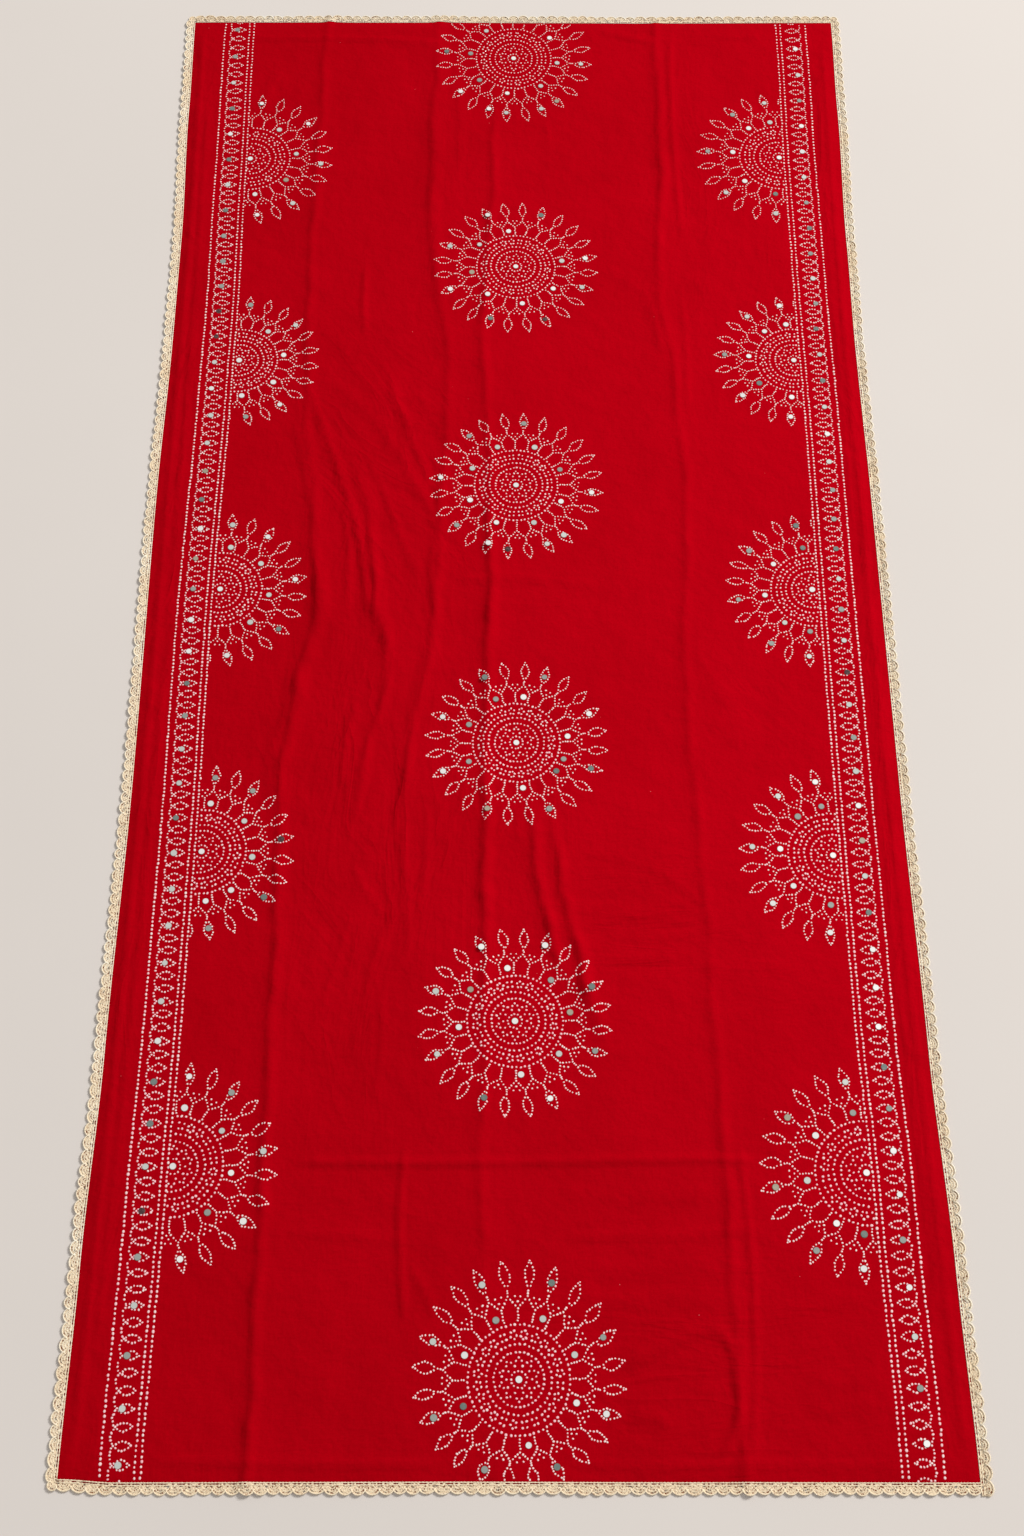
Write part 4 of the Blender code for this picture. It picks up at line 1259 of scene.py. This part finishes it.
def red_cotton(threads, crinkles):
    """Thin dyed cotton: deep red with uneven dye, painted shade towards the left, the bottom and the top end,
    slubs, a fine weave, small wrinkles and specks of lint.
    """
    material, tree, shader = fresh_material("red cotton")
    flat = node(tree, "ShaderNodeUVMap", {"uv_map": "flat"}).outputs[0]
    parts = node(tree, "ShaderNodeSeparateXYZ", Vector=flat)
    weave = node(tree, "ShaderNodeGroup", {"node_tree": threads}, Vector=flat, Threads_per_metre=2100.0)
    grain = noise(tree, flat, 430.0, 3.0, 0.65)
    dye = spread_range(tree, noise(tree, flat, 7.0, 4.0, 0.6), 0.30, 0.70)
    deep = mix_colors(tree, dye, (0.400, 0.0001, 0.0045, 1.0), (0.480, 0.0002, 0.0062, 1.0))
    # Painted light and shade: the red is painted lighter towards the right and the middle, and darker at the
    # left edge, at the bottom and towards the top end, in place of uneven light on the cloth.
    painted_light_share = times(
        tree,
        spread_range(tree, parts.outputs["X"], 0.10, 0.75, 0.35, 1.0),
        spread_range(tree, parts.outputs["Y"], 0.0, 0.60, 0.30, 1.0),
        spread_range(tree, parts.outputs["Y"], 1.70, LENGTH, 1.0, 0.62),
    )
    painted_light_red = mix_colors(tree, painted_light_share, (0.345, 0.0001, 0.0040, 1.0), (0.560, 0.0003, 0.0078, 1.0))
    dye_and_painted_light = mix_colors(tree, 0.45, deep, painted_light_red)
    slub = times(tree, spread_range(tree, weave.outputs["Tone"], 0.40, 0.60), 0.10)
    threaded = mix_colors(tree, slub, dye_and_painted_light, (0.66, 0.0006, 0.0110, 1.0))
    speckle = times(tree, spread_range(tree, grain, 0.38, 0.66), 0.22)
    grained = mix_colors(tree, speckle, threaded, (0.24, 0.0001, 0.0030, 1.0))
    lint = node(tree, "ShaderNodeTexVoronoi", Vector=flat, Scale=34.0)
    spot = spread_range(tree, lint.outputs["Distance"], 0.022, 0.012)
    pick = node(tree, "ShaderNodeSeparateColor", Color=lint.outputs["Color"]).outputs[0]
    rare = math_node(tree, "GREATER_THAN", pick, 0.72)
    linted = mix_colors(tree, times(tree, spot, rare, 0.7), grained, (0.75, 0.20, 0.20, 1.0))
    tree.links.new(linted, shader.inputs["Base Color"])
    tree.links.new(spread_range(tree, grain, 0.3, 0.7, 0.80, 0.95), shader.inputs["Roughness"])
    shader.inputs["Specular IOR Level"].default_value = 0.0
    height = times(tree, weave.outputs["Height"], 0.02)
    height = math_node(tree, "ADD", height, times(tree, grain, 0.09))
    height = math_node(tree, "ADD", height, times(tree, noise(tree, flat, 25.0, 3.0, 0.6), 3.3))
    for name, turn, stretch, amount in (
        ("lengthwise", 0.06, (20.0, 6.0, 1.0), 1.3),
        ("slanting", -0.55, (18.0, 7.0, 1.0), 1.1),
        ("crosswise", 1.50, (25.0, 6.0, 1.0), 1.1),
    ):
        run = node(tree, "ShaderNodeGroup", {"node_tree": crinkles}, Vector=flat, Turn=turn, Stretch=stretch)
        height = math_node(tree, "ADD", height, times(tree, run.outputs[0], attribute(tree, name), amount))
    add_bump(tree, shader, height, 1.0, 0.001)
    return material


def tied_dots():
    """Undyed spots left where the cloth was tied: cream at the crown, the red bleeding in at the rim."""
    material, tree, shader = fresh_material("undyed dots")
    place = node(tree, "ShaderNodeTexCoord").outputs["Object"]
    patch = noise(tree, place, 900.0)
    bare = mix_colors(tree, attribute(tree, "warmth"), (0.96, 0.55, 0.60, 1.0), (0.97, 0.84, 0.81, 1.0))
    reach = math_node(tree, "ADD", attribute(tree, "crown"), times(tree, patch, 0.5))
    color = mix_colors(tree, spread_range(tree, reach, 0.15, 1.20), (0.78, 0.060, 0.110, 1.0), bare)
    tree.links.new(color, shader.inputs["Base Color"])
    tree.links.new(spread_range(tree, patch, 0.3, 0.7, 0.75, 0.95), shader.inputs["Roughness"])
    shader.inputs["Specular IOR Level"].default_value = 0.1
    add_bump(tree, shader, patch, 0.25, 0.0002)
    return material


def foil_mirror():
    """Small foil mirrors: a painted reflection tint for each, a duller rim and slightly crinkled foil."""
    material, tree, shader = fresh_material("foil mirror")
    place = node(tree, "ShaderNodeTexCoord").outputs["Object"]
    crinkle = noise(tree, place, 420.0)
    spots = times(tree, spread_range(tree, crinkle, 0.50, 0.75), 0.20)
    # The painted reflection tint, with greyer aged spots over it.
    aged_and_painted_reflection = mix_colors(tree, spots, attribute(tree, "foil", "Color"), (0.42, 0.42, 0.38, 1.0))
    rim = spread_range(tree, attribute(tree, "crown"), 0.45, 0.98)
    tree.links.new(mix_colors(tree, rim, (0.17, 0.10, 0.09, 1.0), aged_and_painted_reflection), shader.inputs["Base Color"])
    shader.inputs["Metallic"].default_value = 0.22
    tree.links.new(spread_range(tree, crinkle, 0.3, 0.7, 0.34, 0.52), shader.inputs["Roughness"])
    add_bump(tree, shader, crinkle, 0.10, 0.0004)
    return material


def ecru_thread():
    """Crochet thread: ecru cotton with a knotted grain, and painted shade in brown on the lower ground and in
    small specks where the work is deep.
    """
    material, tree, shader = fresh_material("ecru thread")
    place = node(tree, "ShaderNodeTexCoord").outputs["Object"]
    mottle = noise(tree, place, 300.0, 3.0, 0.6)
    knots = noise(tree, place, 1100.0, 2.0, 0.5)
    broad = spread_range(tree, noise(tree, place, 14.0), 0.35, 0.65)
    along = node(tree, "ShaderNodeSeparateXYZ", Vector=place).outputs["Y"]
    paler = times(tree, broad, spread_range(tree, along, -1.09, -0.95, 0.15, 1.0))
    cord = mix_colors(tree, paler, (0.94, 0.79, 0.57, 1.0), (0.99, 0.93, 0.78, 1.0))
    # Painted shade: the lower ground between the cords is painted tan to dark brown, for the shade and the
    # shadowed holes in the work.
    pale = spread_range(tree, mottle, 0.40, 0.52)
    ground = mix_colors(tree, pale, (0.24, 0.09, 0.04, 1.0), (0.92, 0.76, 0.54, 1.0))
    color = mix_colors(tree, attribute(tree, "raised"), ground, cord)
    # Painted shade: dark brown specks painted where the work is deep, over the ground and a little over the
    # cords.
    deep = times(tree, spread_range(tree, mottle, 0.60, 0.66), 0.60)
    tree.links.new(mix_colors(tree, deep, color, (0.34, 0.15, 0.07, 1.0)), shader.inputs["Base Color"])
    tree.links.new(spread_range(tree, knots, 0.3, 0.7, 0.78, 0.95), shader.inputs["Roughness"])
    shader.inputs["Specular IOR Level"].default_value = 0.1
    add_bump(tree, shader, math_node(tree, "ADD", times(tree, knots, 0.7), mottle), 0.6, 0.0005)
    return material


def pale_floor():
    material, tree, shader = fresh_material("pale floor")
    place = node(tree, "ShaderNodeTexCoord").outputs["Object"]
    patches = noise(tree, place, 2.0, 3.0)
    color = mix_colors(tree, patches, (0.735, 0.684, 0.646, 1.0), (0.775, 0.724, 0.686, 1.0))
    tree.links.new(color, shader.inputs["Base Color"])
    shader.inputs["Roughness"].default_value = 0.95
    shader.inputs["Specular IOR Level"].default_value = 0.1
    return material


# ---------------------------------------------------------------- the pieces


def make_cloth(material):
    """The thin sheet itself, on its folds, with a map of the flat cloth and where it is finely wrinkled."""
    rows = len(row_places) - 1
    columns = len(column_places) - 1
    bm = bmesh.new()
    bmesh.ops.create_grid(bm, x_segments=columns, y_segments=rows, size=0.5)
    flat = bm.loops.layers.uv.new("flat")
    spots = {vert: (round((vert.co.y + 0.5) * rows), round((vert.co.x + 0.5) * columns)) for vert in bm.verts}
    for face in bm.faces:
        face.smooth = True
        for loop in face.loops:
            row, column = spots[loop.vert]
            loop[flat].uv = (column_places[column] * WIDTH, row_places[row] * LENGTH)
    for vert, spot in spots.items():
        vert.co = (grid_x[spot], grid_y[spot], grid_z[spot])
    mesh = bpy.data.meshes.new("red_sheet")
    bm.to_mesh(mesh)
    row, column = np.array(list(spots.values())).T
    bm.free()
    x = grid_x[row, column]
    y = grid_y[row, column]
    for name, patches in WRINKLES.items():
        strength = np.zeros_like(x)
        for patch in patches:
            off = ((x - patch.x) / patch.reach_x) ** 2 + ((y - patch.y) / patch.reach_y) ** 2
            strength += patch.strength * np.exp(-off)
        point_attribute(mesh, name, "FLOAT", np.minimum(strength, 1.0))
    piece = add_piece("red_sheet", mesh, material)
    shell = piece.modifiers.new("Thickness", "SOLIDIFY")
    shell.thickness = SHEET_THICK
    shell.offset = 1.0
    return piece


def make_pattern(dot_material, mirror_material):
    """Every dot and mirror of the cloth, in a few joined pieces."""
    pieces = []
    mirrors = []
    groups = {"mid": [], "left": [], "right": []}
    for medallion in MEDALLIONS:
        own_mirrors = lay_medallion(medallion_mirrors(medallion), medallion)
        dots = lay_medallion(medallion_dots(), medallion)
        keep = inside_cloth(dots, EDGE_CLEAR) & inside_borders(dots, BORDER_CLEAR)
        keep &= clear_of(dots, own_mirrors, MIRROR_CLEAR)
        groups[medallion.name.split("_")[0]].append(dots[keep])
        sewn = inside_cloth(own_mirrors, MIRROR_RADIUS) & inside_borders(own_mirrors, -MIRROR_OVERLAP)
        mirrors += list(own_mirrors[sewn])
    for name, parts in groups.items():
        pieces.append(make_dots(f"dots_{name}_medallions", np.concatenate(parts), dot_material))
    for border in BORDERS:
        dots, own_mirrors = border_pattern(border)
        own_mirrors = own_mirrors[inside_cloth(own_mirrors, MIRROR_RADIUS)]
        keep = inside_cloth(dots, EDGE_CLEAR) & clear_of(dots, own_mirrors, 0.0)
        pieces.append(make_dots(f"dots_{border.name}_border", dots[keep], dot_material))
        mirrors += list(own_mirrors)
    return pieces, make_mirrors(np.array(mirrors), mirror_material)


def ground_floor():
    bm = bmesh.new()
    bmesh.ops.create_grid(bm, x_segments=1, y_segments=1, size=4.0)
    bmesh.ops.translate(bm, verts=bm.verts[:], vec=(0, 0, -0.0002))
    mesh = bpy.data.meshes.new("floor")
    bm.to_mesh(mesh)
    bm.free()
    add_piece("floor", mesh, pale_floor())


def place_camera():
    """The camera at the photograph's own place and angle."""
    data = bpy.data.cameras.new("camera")
    data.lens = 45.69
    data.sensor_width = 36.0
    data.clip_start = 0.05
    camera = bpy.data.objects.new("camera", data)
    turn = Matrix.Rotation(radians(-0.83), 4, "Z")
    down = Matrix.Rotation(radians(90 - 64.31), 4, "X")
    roll = Matrix.Rotation(radians(0.753), 4, "Z")
    camera.matrix_world = Matrix.Translation((-0.0213, -1.2994, 2.2508)) @ turn @ down @ roll
    bpy.context.scene.collection.objects.link(camera)
    bpy.context.scene.camera = camera


def light_the_room():
    """A broad soft light from the upper right, and an even pale room."""
    at = Vector((9.2, 5.8, 8.2))
    data = bpy.data.lights.new("key", "AREA")
    data.shape = "DISK"
    data.size = 4.4
    data.energy = 1640
    data.color = (1.0, 0.985, 0.96)
    light = bpy.data.objects.new("key", data)
    light.location = at
    light.rotation_euler = (-at).to_track_quat("-Z", "Y").to_euler()
    bpy.context.scene.collection.objects.link(light)
    world = bpy.data.worlds.new("room")
    world.use_nodes = True
    world.node_tree.nodes["Background"].inputs["Color"].default_value = (1.0, 0.98, 0.955, 1.0)
    world.node_tree.nodes["Background"].inputs["Strength"].default_value = 0.47
    bpy.context.scene.world = world
    bpy.context.scene.view_settings.view_transform = "Standard"


def dress():
    """Makes every piece of its own material, attaches each to the root body, and hides the model's parts that
    the pieces show instead.
    """
    ecru = ecru_thread()
    sheet = make_cloth(red_cotton(thread_group(), crinkle_group()))
    laces = [make_lace(lace, seed, ecru) for seed, lace in enumerate(LACES, start=1)]
    dots, mirrors = make_pattern(tied_dots(), foil_mirror())
    for piece in [sheet, mirrors] + laces + dots:
        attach(piece, "root")
    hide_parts("cloth")
    for lace, piece in zip(LACES, laces):
        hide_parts(lace.name)
    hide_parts(*[f"mirror_{medallion.name}" for medallion in MEDALLIONS])


place_camera()
light_the_room()
ground_floor()
dress()
